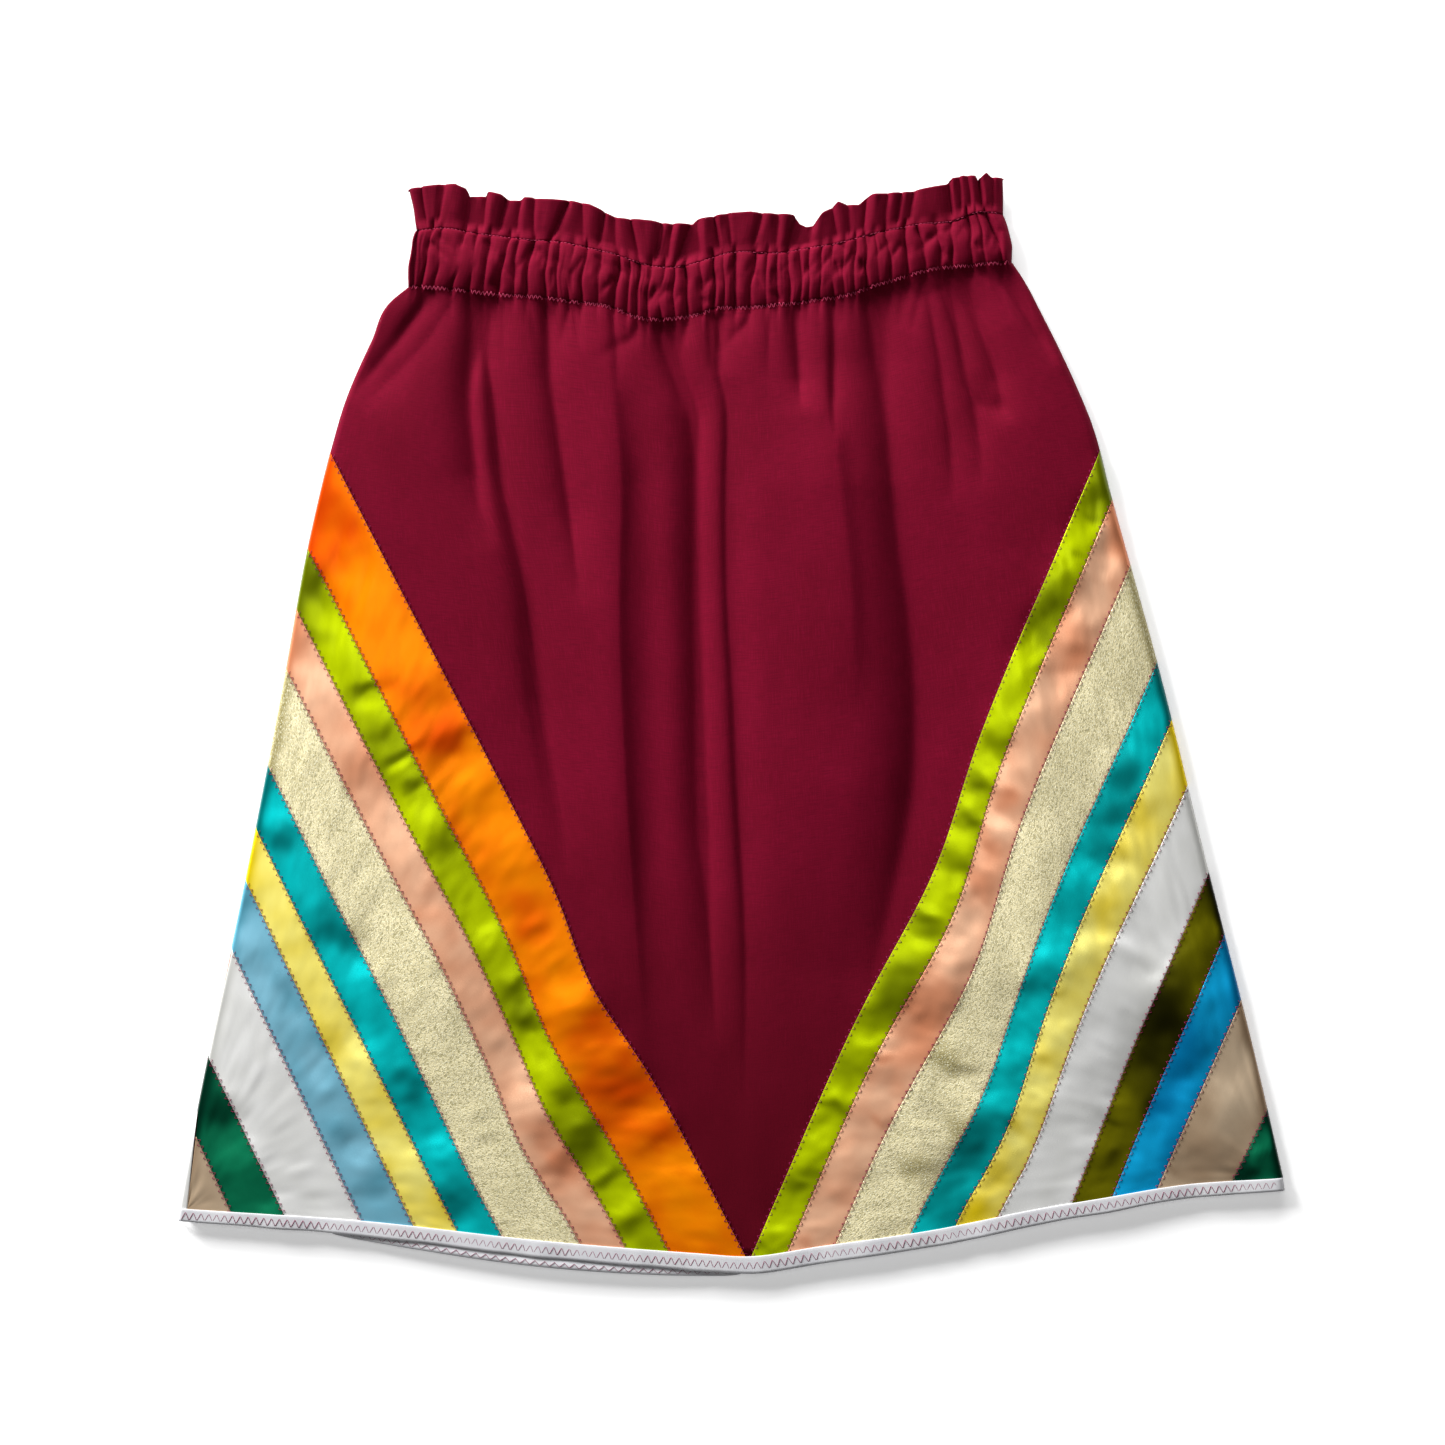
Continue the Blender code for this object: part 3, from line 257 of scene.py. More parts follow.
# Where a ribbon's satin tips towards the light or away from it: x, y, tip from -1 to 1, reach along the
# ribbon and across it. A tip tilts the cloth and also paints the satin: painted highlight towards the light,
# painted shade away
TIPS = (
    (-280, 148, -0.7, 19, 12), (-261, 136, -0.4, 6, 7), (-269, 116, -0.6, 8, 8), (-248, 86, 0.5, 21, 14),
    (-225, 51, 0.3, 17, 14), (-235, 32, -0.4, 4, 6), (-210, 17, -0.4, 12, 14),
    (-195, -12, -0.9, 10, 12), (-180, -35, 0.7, 12, 14), (-156, -73, 0.5, 21, 15),
    (-139, -125, -0.25, 8, 12), (-134, -142, -0.5, 6, 7), (-112, -183, 0.8, 11, 14),
    (-92, -204, -0.6, 11, 14), (-75, -249, -0.9, 19, 17), (-55, -267, 0.4, 6, 10),
    (-48, -284, -0.7, 8, 14), (-34, -311, 0.8, 15, 17), (-21, -338, 0.5, 14, 17),
    (-288, 100, -0.9, 15, 8), (-266, 58, 0.7, 17, 8), (-253, 24, -0.8, 4, 7), (-250, 14, 0.7, 4, 8),
    (-240, -4, -0.7, 7, 8), (-228, -22, -0.9, 3, 8), (-226, -28, 0.8, 3, 6), (-219, -40, -1, 3, 8),
    (-211, -59, 0.7, 10, 8), (-198, -82, -0.6, 7, 8), (-180, -121, 0.3, 14, 8),
    (-168, -142, 0.7, 10, 8), (-148, -183, -0.8, 8, 8), (-140, -204, -0.9, 7, 7),
    (-128, -231, 0.8, 11, 8), (-116, -258, -0.6, 7, 8), (-102, -285, -1, 11, 10),
    (-86, -314, -0.8, 4, 10), (-75, -329, 0.8, 7, 8), (-68, -345, -0.7, 6, 8), (-295, 58, -0.5, 10, 7),
    (-284, 31, 0.4, 14, 8), (-255, -33, -0.5, 15, 10), (-227, -78, 0.5, 17, 10),
    (-209, -118, -0.3, 8, 8), (-142, -249, 0.6, 17, 10), (-126, -280, -0.5, 10, 10),
    (-115, -304, -0.9, 10, 10), (-104, -332, 0.2, 7, 10), (-317, -62, 0.6, 10, 8),
    (-310, -78, -0.7, 7, 8), (-282, -139, -0.5, 12, 10), (-263, -150, -0.5, 11, 7),
    (-253, -167, 0.7, 12, 10), (-221, -250, -0.5, 12, 10), (-198, -289, 0.7, 11, 10),
    (-190, -329, -0.6, 11, 10), (-253, -223, 0.6, 11, 8), (-242, -259, -0.3, 8, 8),
    (-221, -297, 0.5, 12, 8), (-337, -120, -0.6, 10, 8), (-333, -147, 0.5, 10, 8),
    (-320, -187, 0.4, 12, 8), (-308, -183, -0.5, 12, 6), (-277, -218, -0.4, 10, 7),
    (-285, -242, 0.5, 11, 8), (-269, -285, -0.6, 7, 8), (-256, -297, 0.5, 8, 8),
    (-246, -318, -0.6, 8, 10), (-348, -266, -0.8, 10, 8), (-339, -294, 0.8, 10, 10),
    (-317, -334, 0.8, 6, 7), (255, 162, -0.8, 17, 6), (239, 129, 0.7, 15, 8), (248, 142, -0.6, 2, 6),
    (238, 117, -0.7, 2, 6), (234, 109, 0.7, 6, 7), (219, 80, -0.9, 23, 9), (200, 41, 0.7, 17, 8),
    (210, 40, -0.5, 6, 3), (193, 11, 0.7, 11, 8), (183, -14, -0.6, 8, 8), (177, -28, 0.6, 6, 7),
    (173, -40, -0.7, 5, 8), (165, -53, 0.7, 3, 7), (164, -67, -0.7, 6, 8), (159, -79, 0.6, 6, 8),
    (157, -95, -0.6, 6, 8), (151, -111, 0.7, 8, 8), (144, -127, 0.6, 7, 8), (136, -136, -0.7, 5, 8),
    (130, -151, 0.6, 4, 8), (114, -187, -0.9, 18, 10), (95, -219, 0.8, 7, 8), (103, -229, -0.6, 3, 4),
    (82, -237, -0.3, 4, 8), (75, -254, 0.6, 6, 8), (72, -265, -0.7, 4, 7), (61, -285, 0.7, 11, 8),
    (54, -308, -0.5, 3, 7), (45, -318, -0.7, 6, 5), (30, -346, 0.7, 11, 8), (21, -361, -0.6, 3, 7),
    (268, 131, -0.8, 17, 5), (255, 109, 0.6, 14, 8), (249, 101, -0.4, 3, 8), (247, 80, 0.6, 11, 8),
    (235, 49, -0.8, 15, 9), (216, 21, 0.6, 12, 8), (199, -24, 0.3, 10, 8), (190, -52, -0.6, 7, 8),
    (184, -69, 0.7, 6, 8), (179, -82, -0.6, 6, 8), (173, -112, -0.5, 11, 8), (162, -149, 0.7, 15, 8),
    (137, -197, -1, 18, 10), (117, -243, -0.4, 11, 8), (104, -258, 0.6, 7, 8), (104, -274, -0.5, 3, 6),
    (90, -296, 0.6, 10, 8), (75, -325, -0.3, 6, 8), (59, -338, 0.5, 7, 8), (52, -356, -0.5, 3, 6),
    (151, -234, -0.8, 7, 12), (133, -250, 0.4, 4, 10), (149, -270, -0.5, 7, 8), (133, -276, 0.5, 6, 10),
    (125, -306, -0.7, 6, 11), (101, -325, 0.4, 14, 12), (288, 4, 0.7, 10, 8), (284, -16, 0.5, 8, 8),
    (272, -35, -0.6, 11, 8), (260, -63, -0.6, 10, 8), (250, -87, -0.5, 8, 8), (239, -100, 0.6, 10, 8),
    (226, -151, 0.7, 15, 10), (206, -181, -0.7, 11, 8), (209, -211, -0.4, 8, 6),
    (193, -224, 0.6, 12, 8), (185, -258, 0.5, 8, 8), (165, -292, -1, 18, 11), (141, -329, -0.2, 10, 8),
    (293, -31, 0.6, 10, 8), (284, -60, -0.6, 10, 8), (271, -90, -0.5, 8, 8), (265, -100, 0.7, 6, 8),
    (257, -131, -0.7, 10, 8), (244, -149, 0.7, 10, 8), (225, -183, -0.4, 3, 6), (223, -206, 0.6, 10, 8),
    (217, -233, -0.4, 6, 8), (210, -251, 0.6, 7, 8), (195, -276, -0.5, 4, 8), (193, -287, 0.6, 4, 8),
    (184, -309, -0.7, 10, 6), (168, -336, -0.9, 11, 8), (272, -150, 0.4, 7, 10),
    (279, -164, -0.4, 7, 10), (288, -191, -0.5, 14, 7), (250, -223, 0.4, 14, 10),
    (327, -143, 0.8, 15, 8), (296, -208, -1, 26, 12), (268, -260, 0.6, 7, 8), (262, -272, -0.5, 3, 8),
    (257, -288, 0.7, 10, 8), (264, -298, -0.5, 6, 4), (246, -317, 0.6, 10, 8), (334, -179, 0.7, 17, 8),
    (310, -234, -0.9, 18, 10), (296, -262, -0.6, 7, 8), (288, -294, 0.6, 14, 8), (268, -320, 0.5, 8, 8),
    (351, -245, 0.7, 23, 10), (328, -267, -0.5, 10, 8), (322, -298, -0.8, 15, 17),
    (304, -308, -0.4, 2, 6), (368, -288, 0.9, 10, 3), (355, -310, -0.9, 8, 6),
)
TIP_SLOPE = 0.15
# Run of the ribbons down from the left side; on the right side x is turned round
RIBBON_RUN = (0.46, -0.89)
# Painted sheen where no tip lies, and how sharply it steps from painted shade to painted highlight
PAINTED_SHEEN_START = 0.22
PAINTED_SHEEN_STEP = 1.7
# Painted shade: how much the satin's colour darkens at the skirt's sides, and over which width
SIDE_SHADE = (2.2, 4.0)
# Ribbons from the top of the V down: name, where the upper edge meets the side, where it meets the
# hem seam, and material slot
LEFT_RIBBONS = (
    ("orange", (-275, 188), (10, -367), "satin_orange"),
    ("lime", (-286, 122), (-43, -359), "satin_lime"),
    ("peach", (-297, 80), (-73, -357), "satin_peach"),
    ("gold", (-306, 39), (-104, -354), "lame_gold"),
    ("teal", (-320, -28), (-158, -349), "satin_teal"),
    ("yellow", (-329, -71), (-189, -346), "satin_yellow"),
    ("sky", (-336, -107), (-219, -344), "satin_sky"),
    ("white", (-344, -154), (-255, -341), "satin_white"),
    ("green", (-359, -229), (-308, -338), "satin_green"),
    ("beige", (-368, -284), (-345, -335), "satin_beige"),
)
RIGHT_RIBBONS = (
    ("lime", (253, 189), (14, -366), "satin_lime"),
    ("peach", (264, 155), (39, -363), "satin_peach"),
    ("gold", (275, 110), (72, -358), "lame_gold"),
    ("teal", (293, 43), (124, -351), "satin_teal"),
    ("yellow", (303, 3), (155, -346), "satin_yellow"),
    ("white", (313, -42), (184, -340), "satin_white"),
    ("olive", (329, -102), (235, -330), "satin_olive"),
    ("blue", (339, -145), (263, -326), "satin_blue"),
    ("beige", (351, -190), (294, -320), "satin_beige"),
    ("green", (368, -266), (346, -315), "satin_green"),
)
# Columns across a ribbon, and how its outer and inner side go round the skirt's side: outward, height
ACROSS = np.array([0, 0.012, 0.035, 0.08, 0.15, 0.23, 0.32, 0.41, 0.5, 0.59, 0.68, 0.77, 0.85, 0.92, 0.965,
                   0.988, 1.0])
ROW_STEP = 1.6
RIBBON_WRAP = ((-1.2, 0.3), (0.7, 1.2), (0.6, 2.2))
RIBBON_INNER_WRAP = ((-1.2, 0.7), (-0.1, 1.3), (-0.1, 2.0))
PANEL_WRAP = ((0.5, 1.7), (-1.4, 0.9))
# A white ribbon of the back comes round the left side at the hem, inside this line
BACK_RIBBON_LINE = ((-367, -267), (-375, -334))

# The binding's section: share of its depth from its upper edge, and height above the cloth
TAPE_PROFILE = (
    (0.0, 1.9), (0.01, 2.25), (0.05, 2.38), (0.2, 2.4), (0.4, 2.4), (0.6, 2.4), (0.8, 2.4), (0.95, 2.34),
    (0.985, 1.8), (1.0, 0.6), (0.985, -0.3), (0.9, -0.9),
)
TAPE_TOP = 2.4
BACK_TAPE_PROFILE = (
    (0.0, 1.4), (0.25, 2.4), (0.5, 5.0), (0.66, 7.2), (0.85, 7.8), (0.95, 7.7), (0.98, 7.2), (1.0, 6.0),
)

# Ribbon satins: material slot, lighter and darker tone. The lighter tone is painted highlight where the satin
# turns to the light, the darker one painted shade where it turns away and also the tone of its dye's darker
# clouds and bars
SATINS = (
    ("satin_orange", (0.90, 0.25, 0.0), (0.66, 0.055, 0.0)),
    ("satin_lime", (0.50, 0.62, 0.0), (0.12, 0.15, 0.0)),
    ("satin_peach", (0.88, 0.52, 0.33), (0.60, 0.21, 0.10)),
    ("satin_teal", (0.002, 0.60, 0.62), (0.0, 0.12, 0.12)),
    ("satin_yellow", (0.97, 0.89, 0.25), (0.72, 0.53, 0.0)),
    ("satin_sky", (0.22, 0.48, 0.61), (0.09, 0.32, 0.43)),
    ("satin_white", (0.80, 0.80, 0.79), (0.60, 0.60, 0.57)),
    ("satin_green", (0.004, 0.19, 0.085), (0.0, 0.02, 0.01)),
    ("satin_beige", (0.58, 0.45, 0.31), (0.28, 0.185, 0.11)),
    ("satin_olive", (0.15, 0.14, 0.001), (0.004, 0.004, 0.0)),
    ("satin_blue", (0.005, 0.38, 0.72), (0.0, 0.13, 0.31)),
)

# Zigzags: step from hole to hole, width across the seam, radius of the thread
RIBBON_ZIGZAG = (2.5, 3.8, 0.18)
HEM_ZIGZAG = (2.7, 5.6, 0.19)
BACK_HEM_ZIGZAG = (3.4, 3.2, 0.17)
WAIST_ZIGZAG = (1.4, 3.4, 0.2)
# The straight stitches above the casing: step and radius
STRAIGHT_STITCH = (2.6, 0.17)
BACK_STITCHES_FROM_EDGE = 3.0

# The camera looks straight down: x and y of the middle of its view, height, lens in millimetres
VIEW_MIDDLE = (-5.9, 1.4)
VIEW_HEIGHT = 2360.0
LENS = 85.0

# Soft lights: name, place and size in metres, watts
LIGHTS = (
    ("key", (-3.95, 3.8, 1.8), (1.5, 2.2), 771),
    ("low_from_waist", (-0.1, 2.6, 0.7), (2.0, 1.2), 97),
    ("overhead_softbox", (-0.2, 0.65, 3.2), (2.0, 1.0), 15),
)
WORLD_LIGHT = 0.10
FLOOR_GLOW = 0.3


def smooth(table, column, where):
    """Values of a table's column at places in its first column, along a smooth curve."""
    knots = np.array([row[0] for row in table], dtype=float)
    values = np.array([row[column] for row in table], dtype=float)
    slopes = np.gradient(values, knots)
    i = np.clip(np.searchsorted(knots, where) - 1, 0, len(knots) - 2)
    step = knots[i + 1] - knots[i]
    t = (where - knots[i]) / step
    blend = t * t * (3 - 2 * t)
    bend = slopes[i] * t * (1 - t) ** 2 - slopes[i + 1] * t * t * (1 - t)
    return values[i] + (values[i + 1] - values[i]) * blend + bend * step


def straight(table, column, where):
    """Values of a table's column at places in its first column, along straight pieces."""
    return np.interp(where, [row[0] for row in table], [row[column] for row in table])


def mix(a, b, t):
    return a + (b - a) * t


def soft_noise(x, y, seed):
    """Smooth noise from -1 to 1, with about one hill or hollow to each unit of x and y."""
    knots = np.random.default_rng(seed).uniform(-1, 1, (64, 64))
    i = np.floor(x).astype(int)
    j = np.floor(y).astype(int)
    across = x - i
    up = y - j
    across = across * across * (3 - 2 * across)
    up = up * up * (3 - 2 * up)
    lower = mix(knots[i % 64, j % 64], knots[(i + 1) % 64, j % 64], across)
    upper = mix(knots[i % 64, (j + 1) % 64], knots[(i + 1) % 64, (j + 1) % 64], across)
    return mix(lower, upper, up)


def curved_path(path):
    """More points along a path, on a smooth curve through its own."""
    points = np.array(path, dtype=float)
    if len(points) < 3:
        return points
    knots = np.arange(len(points))
    where = np.linspace(0, len(points) - 1, 3 * (len(points) - 1) + 1)
    columns = [smooth(list(zip(knots, points[:, k])), 1, where) for k in (0, 1)]
    return np.stack(columns, axis=1)


def path_distance(x, y, path):
    """Distances from a path that runs down, positive on its right in plan, and the share of it passed."""
    points = curved_path(path)
    lengths = np.hypot(*np.diff(points, axis=0).T)
    away = np.full(np.shape(x), 1e9)
    passed = np.zeros(np.shape(x))
    done = 0.0
    for (ax, ay), (bx, by), length in zip(points, points[1:], lengths):
        dx, dy = (bx - ax) / length, (by - ay) / length
        along = np.clip((x - ax) * dx + (y - ay) * dy, 0.0, length)
        off_x, off_y = x - ax - along * dx, y - ay - along * dy
        gap = np.hypot(off_x, off_y)
        side = np.where(dx * off_y - dy * off_x >= 0, 1.0, -1.0)
        nearer = gap < np.abs(away)
        away = np.where(nearer, gap * side, away)
        passed = np.where(nearer, (done + along) / lengths.sum(), passed)
        done += length
    return away, passed


def fold_drop(x, y, folds, fading=FOLD_FADE, soft=False):
    """How far folds lower the cloth at plan points: creases have a sharp foot, soft folds are round."""
    drop = np.zeros(np.shape(x))
    for depth, left_width, right_width, path in folds:
        away, passed = path_distance(x, y, path)
        width = np.where(away > 0, right_width, left_width)
        fade = np.minimum(1.0, (1 - passed) / fading)
        if soft:
            fall = np.minimum(1.0, passed / SOFT_FOLD_START) * np.exp(-(away / width) ** 2)
        else:
            fall = np.exp(-(np.hypot(away, CREASE_RADIUS) - CREASE_RADIUS) / width)
        drop += depth * fade * fall
    return drop


def satin_tips(x, y):
    """How the satin's tips raise the cloth at plan points, and their painted sheen from -1 (shade) to 1
    (highlight).
    """
    warped_x = x + 3.0 * soft_noise(x / 10, y / 10, 51)
    warped_y = y + 3.0 * soft_noise(x / 8, y / 8, 52)
    rise = np.zeros(np.shape(x))
    painted_sheen = PAINTED_SHEEN_START + 0.25 * soft_noise(x / 12, y / 12, 53)
    for tip_x, tip_y, tip, reach, width in TIPS:
        down_x, down_y = RIBBON_RUN[0] * (1.0 if tip_x < 0 else -1.0), RIBBON_RUN[1]
        along = (warped_x - tip_x) * down_x + (warped_y - tip_y) * down_y
        across = (warped_x - tip_x) * down_y - (warped_y - tip_y) * down_x
        fall = np.exp(-(along / reach) ** 2 / 2 - (across / width) ** 2 / 2)
        rise += tip * TIP_SLOPE * along * fall
        # Painted sheen: the satin's colour is painted lighter where a tip turns it towards the light, darker
        # where it turns away
        painted_sheen += tip * fall
    share = panel_share(x, y)
    inside = np.minimum(x - smooth(SIDES, 1, share), smooth(SIDES, 2, share) - x)
    # Painted shade at the skirt's sides, where the satin turns away from the light round the edge
    painted_sheen -= SIDE_SHADE[0] * np.exp(-np.maximum(inside, 0.0) / SIDE_SHADE[1])
    return rise, np.tanh(PAINTED_SHEEN_STEP * painted_sheen)


def rim(x, left, right, widths=RIM_WIDTHS):
    """0 at the outline, 1 where the cloth has its full height."""
    inside = np.clip(np.minimum((x - left) / widths[0], (right - x) / widths[1]), 0.0, 1.0)
    return np.sqrt(1 - (1 - inside) ** 2)


def foot(t, gap, depths, i, reach):
    """1 in the foot of a gather and 0 on the crest between two, steeper on the foot's right."""
    before = depths[i] * np.exp(-t * gap / reach[1])
    after = depths[i + 1] * np.exp(-(1 - t) * gap / reach[0])
    sway = mix(depths[i], depths[i + 1], t) * (1 - np.sin(math.pi * t))
    return np.clip(FOOT_SHARE * np.maximum(before, after) + (1 - FOOT_SHARE) * sway, 0.0, 1.0)


def gather_dip(x):
    """1 in the valley of a gather at the waist seam, 0 on the crest between two."""
    places = np.array(with_ends(GATHERS, 1, WAIST_LEFT, WAIST_RIGHT))
    depths = np.array(with_ends(GATHERS, 2, END_DIP, END_DIP))
    i = np.clip(np.searchsorted(places, x) - 1, 0, len(places) - 2)
    gap = places[i + 1] - places[i]
    t = np.clip((x - places[i]) / gap, 0.0, 1.0)
    return foot(t, gap, depths, i, FOOT_REACH)


def bend_plan(x, y):
    """Plan points after the soft bends, with the lift that goes with them."""
    shift = np.zeros(np.shape(x))
    lift = np.zeros(np.shape(x))
    for bend_x, bend_y, reach_x, reach_y, bend_shift, bend_lift in BENDS:
        strength = np.exp(-((x - bend_x) / reach_x) ** 2 / 2 - ((y - bend_y) / reach_y) ** 2 / 2)
        shift += bend_shift * strength
        lift += bend_lift * strength
    above_hem = y - smooth(HEM_SEAM, 1, np.clip(x, HEM_LEFT, HEM_RIGHT))
    return x + shift * np.clip(above_hem / BEND_STOP, 0.0, 1.0), y, lift


def panel_share(x, y):
    """Share of the panel's length at plan points, closed in on from a first guess."""
    share = np.full(np.shape(x), 0.5)
    for _ in range(5):
        left = smooth(SIDES, 1, share)
        across = np.clip((x - left) / (smooth(SIDES, 2, share) - left), 0.0, 1.0)
        top = smooth(WAIST_SEAM, 1, mix(WAIST_LEFT, WAIST_RIGHT, across))
        bottom = smooth(HEM_SEAM, 1, mix(HEM_LEFT, HEM_RIGHT, across))
        share = np.clip((top - y) / (top - bottom), 0.0, 1.0)
    return share


def crinkle(x, y):
    """Small unevenness of cotton that has been worn and smoothed by hand."""
    long = soft_noise(x / 16, y / 60, 3)
    small = soft_noise(x / 9 + y / 40, y / 14, 5)
    return 0.22 * long + 0.07 * small


def panel_top(x, y, lift=0.0):
    """Heights of the front panel's upper side."""
    share = panel_share(x, y)
    left, right = smooth(SIDES, 1, share), smooth(SIDES, 2, share)
    inside = np.clip(np.minimum(x - left, right - x) / SIDE_RISE, 0.0, 1.0)
    calm = mix(PANEL_TOP_AT_WAIST, PANEL_TOP_AT_HEM, share ** WAIST_FALL)
    side_top = np.minimum(mix(*SIDE_TOPS, np.sqrt(share)), calm)
    calm = mix(side_top, calm, 1 - (1 - inside) ** 2)
    body = calm + lift - LONG_FOLD_DEPTH * fold_drop(x, y, LONG_FOLDS)
    body -= fold_drop(x, y, SOFT_FOLDS, soft=True)
    body -= SEAM_FOLD_DEPTH * fold_drop(x, y, SEAM_FOLDS, 1.0)
    body += satin_tips(x, y)[0] + crinkle(x, y)
    over = SOFTEST_STOP * (body - LOWEST_PANEL_TOP)
    body = LOWEST_PANEL_TOP + np.log1p(np.exp(over)) / SOFTEST_STOP
    seam = mix(SEAM_CREST_TOP, VALLEY_TOP, gather_dip(x))
    height = mix(body, seam, np.exp(-share / GATHER_FADE))
    return mix(RIM_TOP, height, rim(x, left, right))


def column_guides(share):
    """X of the panel's sides and long folds at a share of its length."""
    inner = [smooth(list(zip(GUIDE_SHARES, guide)), 1, share) for guide in GUIDES]
    return np.array([smooth(SIDES, 1, share)] + inner + [smooth(SIDES, 2, share)])


def panel_plan(stations, shares):
    """Plan points of a grid of the panel: columns start at stations of the waist seam."""
    waist_x = column_guides(0.0)
    hem_x = np.interp(stations, waist_x, column_guides(1.0))
    hem_y = smooth(HEM_SEAM, 1, hem_x)
    waist_y = smooth(WAIST_SEAM, 1, stations)
    x = np.array([np.interp(stations, waist_x, column_guides(share)) for share in shares])
    y = mix(waist_y[None, :], hem_y[None, :], np.array(shares)[:, None])
    return x, y


def grid_normals(points):
    """Unit normals of a grid of points, all turned to the side that faces up on the whole."""
    down = np.gradient(points, axis=0)
    across = np.gradient(points, axis=1)
    normals = np.cross(down, across)
    normals /= np.maximum(np.linalg.norm(normals, axis=2, keepdims=True), 1e-9)
    return normals if normals[..., 2].mean() > 0 else -normals


def cloth_lengths(points):
    """Lengths across and along the cloth of a grid, as flat coordinates for its weave."""
    across = np.linalg.norm(np.diff(points, axis=1), axis=2).mean(axis=0)
    along = np.linalg.norm(np.diff(points, axis=0), axis=2).mean(axis=1)
    across = np.concatenate([[0.0], np.cumsum(across)])
    along = np.concatenate([[0.0], np.cumsum(along)])
    return np.meshgrid(across, along)


def lay_flat(mesh, flat):
    """Gives a mesh the flat coordinates of its points, as the layer that the materials read."""
    corners = np.empty(len(mesh.loops), dtype=np.int32)
    mesh.loops.foreach_get("vertex_index", corners)
    layer = mesh.uv_layers.new(name="cloth")
    layer.uv.foreach_set("vector", flat[corners].ravel())


def put_in_scene(name, data):
    made = bpy.data.objects.new(name, data)
    bpy.context.scene.collection.objects.link(made)
    return made


def make_shell(name, top, wall, material, under=None, painted_sheen=None):
    """A closed piece of cloth from a grid of points on its upper side, in millimetres."""
    top = np.asarray(top, dtype=float)
    rows, columns = top.shape[:2]
    if under is None:
        normals = grid_normals(top)
        under = top - normals * wall
        under[..., 2] = np.maximum(under[..., 2], 0.02)
    points = np.concatenate([top.reshape(-1, 3), under.reshape(-1, 3)]) * MM
    index = np.arange(rows * columns).reshape(rows, columns)
    count = rows * columns
    quads = np.stack([index[:-1, :-1], index[1:, :-1], index[1:, 1:], index[:-1, 1:]], axis=-1).reshape(-1, 4)
    ring = np.concatenate([index[0, :-1], index[:-1, -1], index[-1, :0:-1], index[:0:-1, 0]])
    following = np.roll(ring, -1)
    rims = np.stack([ring, following, following + count, ring + count], axis=-1)
    faces = np.concatenate([quads, quads[:, ::-1] + count, rims])
    middle = rows // 2, columns // 2
    sample = (top[middle[0] + 1, middle[1]] - top[middle], top[middle[0], middle[1] + 1] - top[middle])
    if np.cross(*sample)[2] < 0:
        faces = faces[:, ::-1]
    mesh = bpy.data.meshes.new(name)
    mesh.from_pydata(points.tolist(), [], faces.tolist())
    flat = np.stack(cloth_lengths(top), axis=-1).reshape(-1, 2) * MM
    lay_flat(mesh, np.concatenate([flat, flat]))
    if painted_sheen is not None:
        # The painted sheen goes on the shell as a point attribute, read by the satin and lame materials as
        # painted light and shade
        shown = mesh.attributes.new("painted_sheen", "FLOAT", "POINT")
        shown.data.foreach_set("value", np.tile(painted_sheen.ravel(), 2).astype(np.float32))
    mesh.shade_smooth()
    mesh.materials.append(material)
    piece = put_in_scene(name, mesh)
    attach(piece, "root")
    return piece


def side_wrap(x, y, outward, wrap):
    """Lines of points that take a side edge round and under."""
    return [np.stack([x + step * outward, y, np.full_like(x, height)], axis=-1) for step, height in wrap]


def front_panel(cotton):
    """The body of the skirt's front."""
    stations = np.linspace(WAIST_LEFT, WAIST_RIGHT, 330)
    shares = np.linspace(0.0, 1.0, 140) ** 1.4
    x, y = panel_plan(stations, shares)
    x, y, lift = bend_plan(x, y)
    z = panel_top(x, y, lift)
    top = np.stack([x, y, z], axis=-1)
    left = side_wrap(x[:, 0], y[:, 0], -1, PANEL_WRAP)
    right = side_wrap(x[:, -1], y[:, -1], 1, PANEL_WRAP)
    columns = [side[:, None] for side in left[::-1]] + [top] + [side[:, None] for side in right]
    piece = make_shell("front_panel_cloth", np.concatenate(columns, axis=1), COTTON, cotton)
    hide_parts("front_panel")


def gather_columns(places, steps):
    """Columns as a valley's number and the share of the way to the next valley."""
    count = len(places) - 1
    where = np.linspace(0, count, count * steps + 1)
    i = np.minimum(where.astype(int), count - 1)
    return i, where - i


def with_ends(table, column, first, last):
    return [first] + [row[column] for row in table] + [last]


def between(values, i, t):
    values = np.array(values, dtype=float)
    return mix(values[i], values[i + 1], t)


def casing_creases():
    """Short slanting creases, scattered over the puffs of the casing."""
    random = np.random.default_rng(17)
    creases = []
    for x in np.arange(WAIST_LEFT + 8, WAIST_RIGHT - 6, 5.2):
        x += random.uniform(-3, 3)
        share = random.uniform(0.3, 0.8)
        y = mix(smooth(WAIST_SEAM, 1, x), smooth(CASING_TOP, 1, x), share)
        length, lean = random.uniform(7, 18), random.uniform(-1.0, 1.0)
        ends = ((x - lean * length / 2, y + length / 2), (x + lean * length / 2, y - length / 2))
        creases.append((random.uniform(0.5, 2.2), random.uniform(1.2, 3.5), random.uniform(1.2, 3.0), ends))
    return tuple(creases)


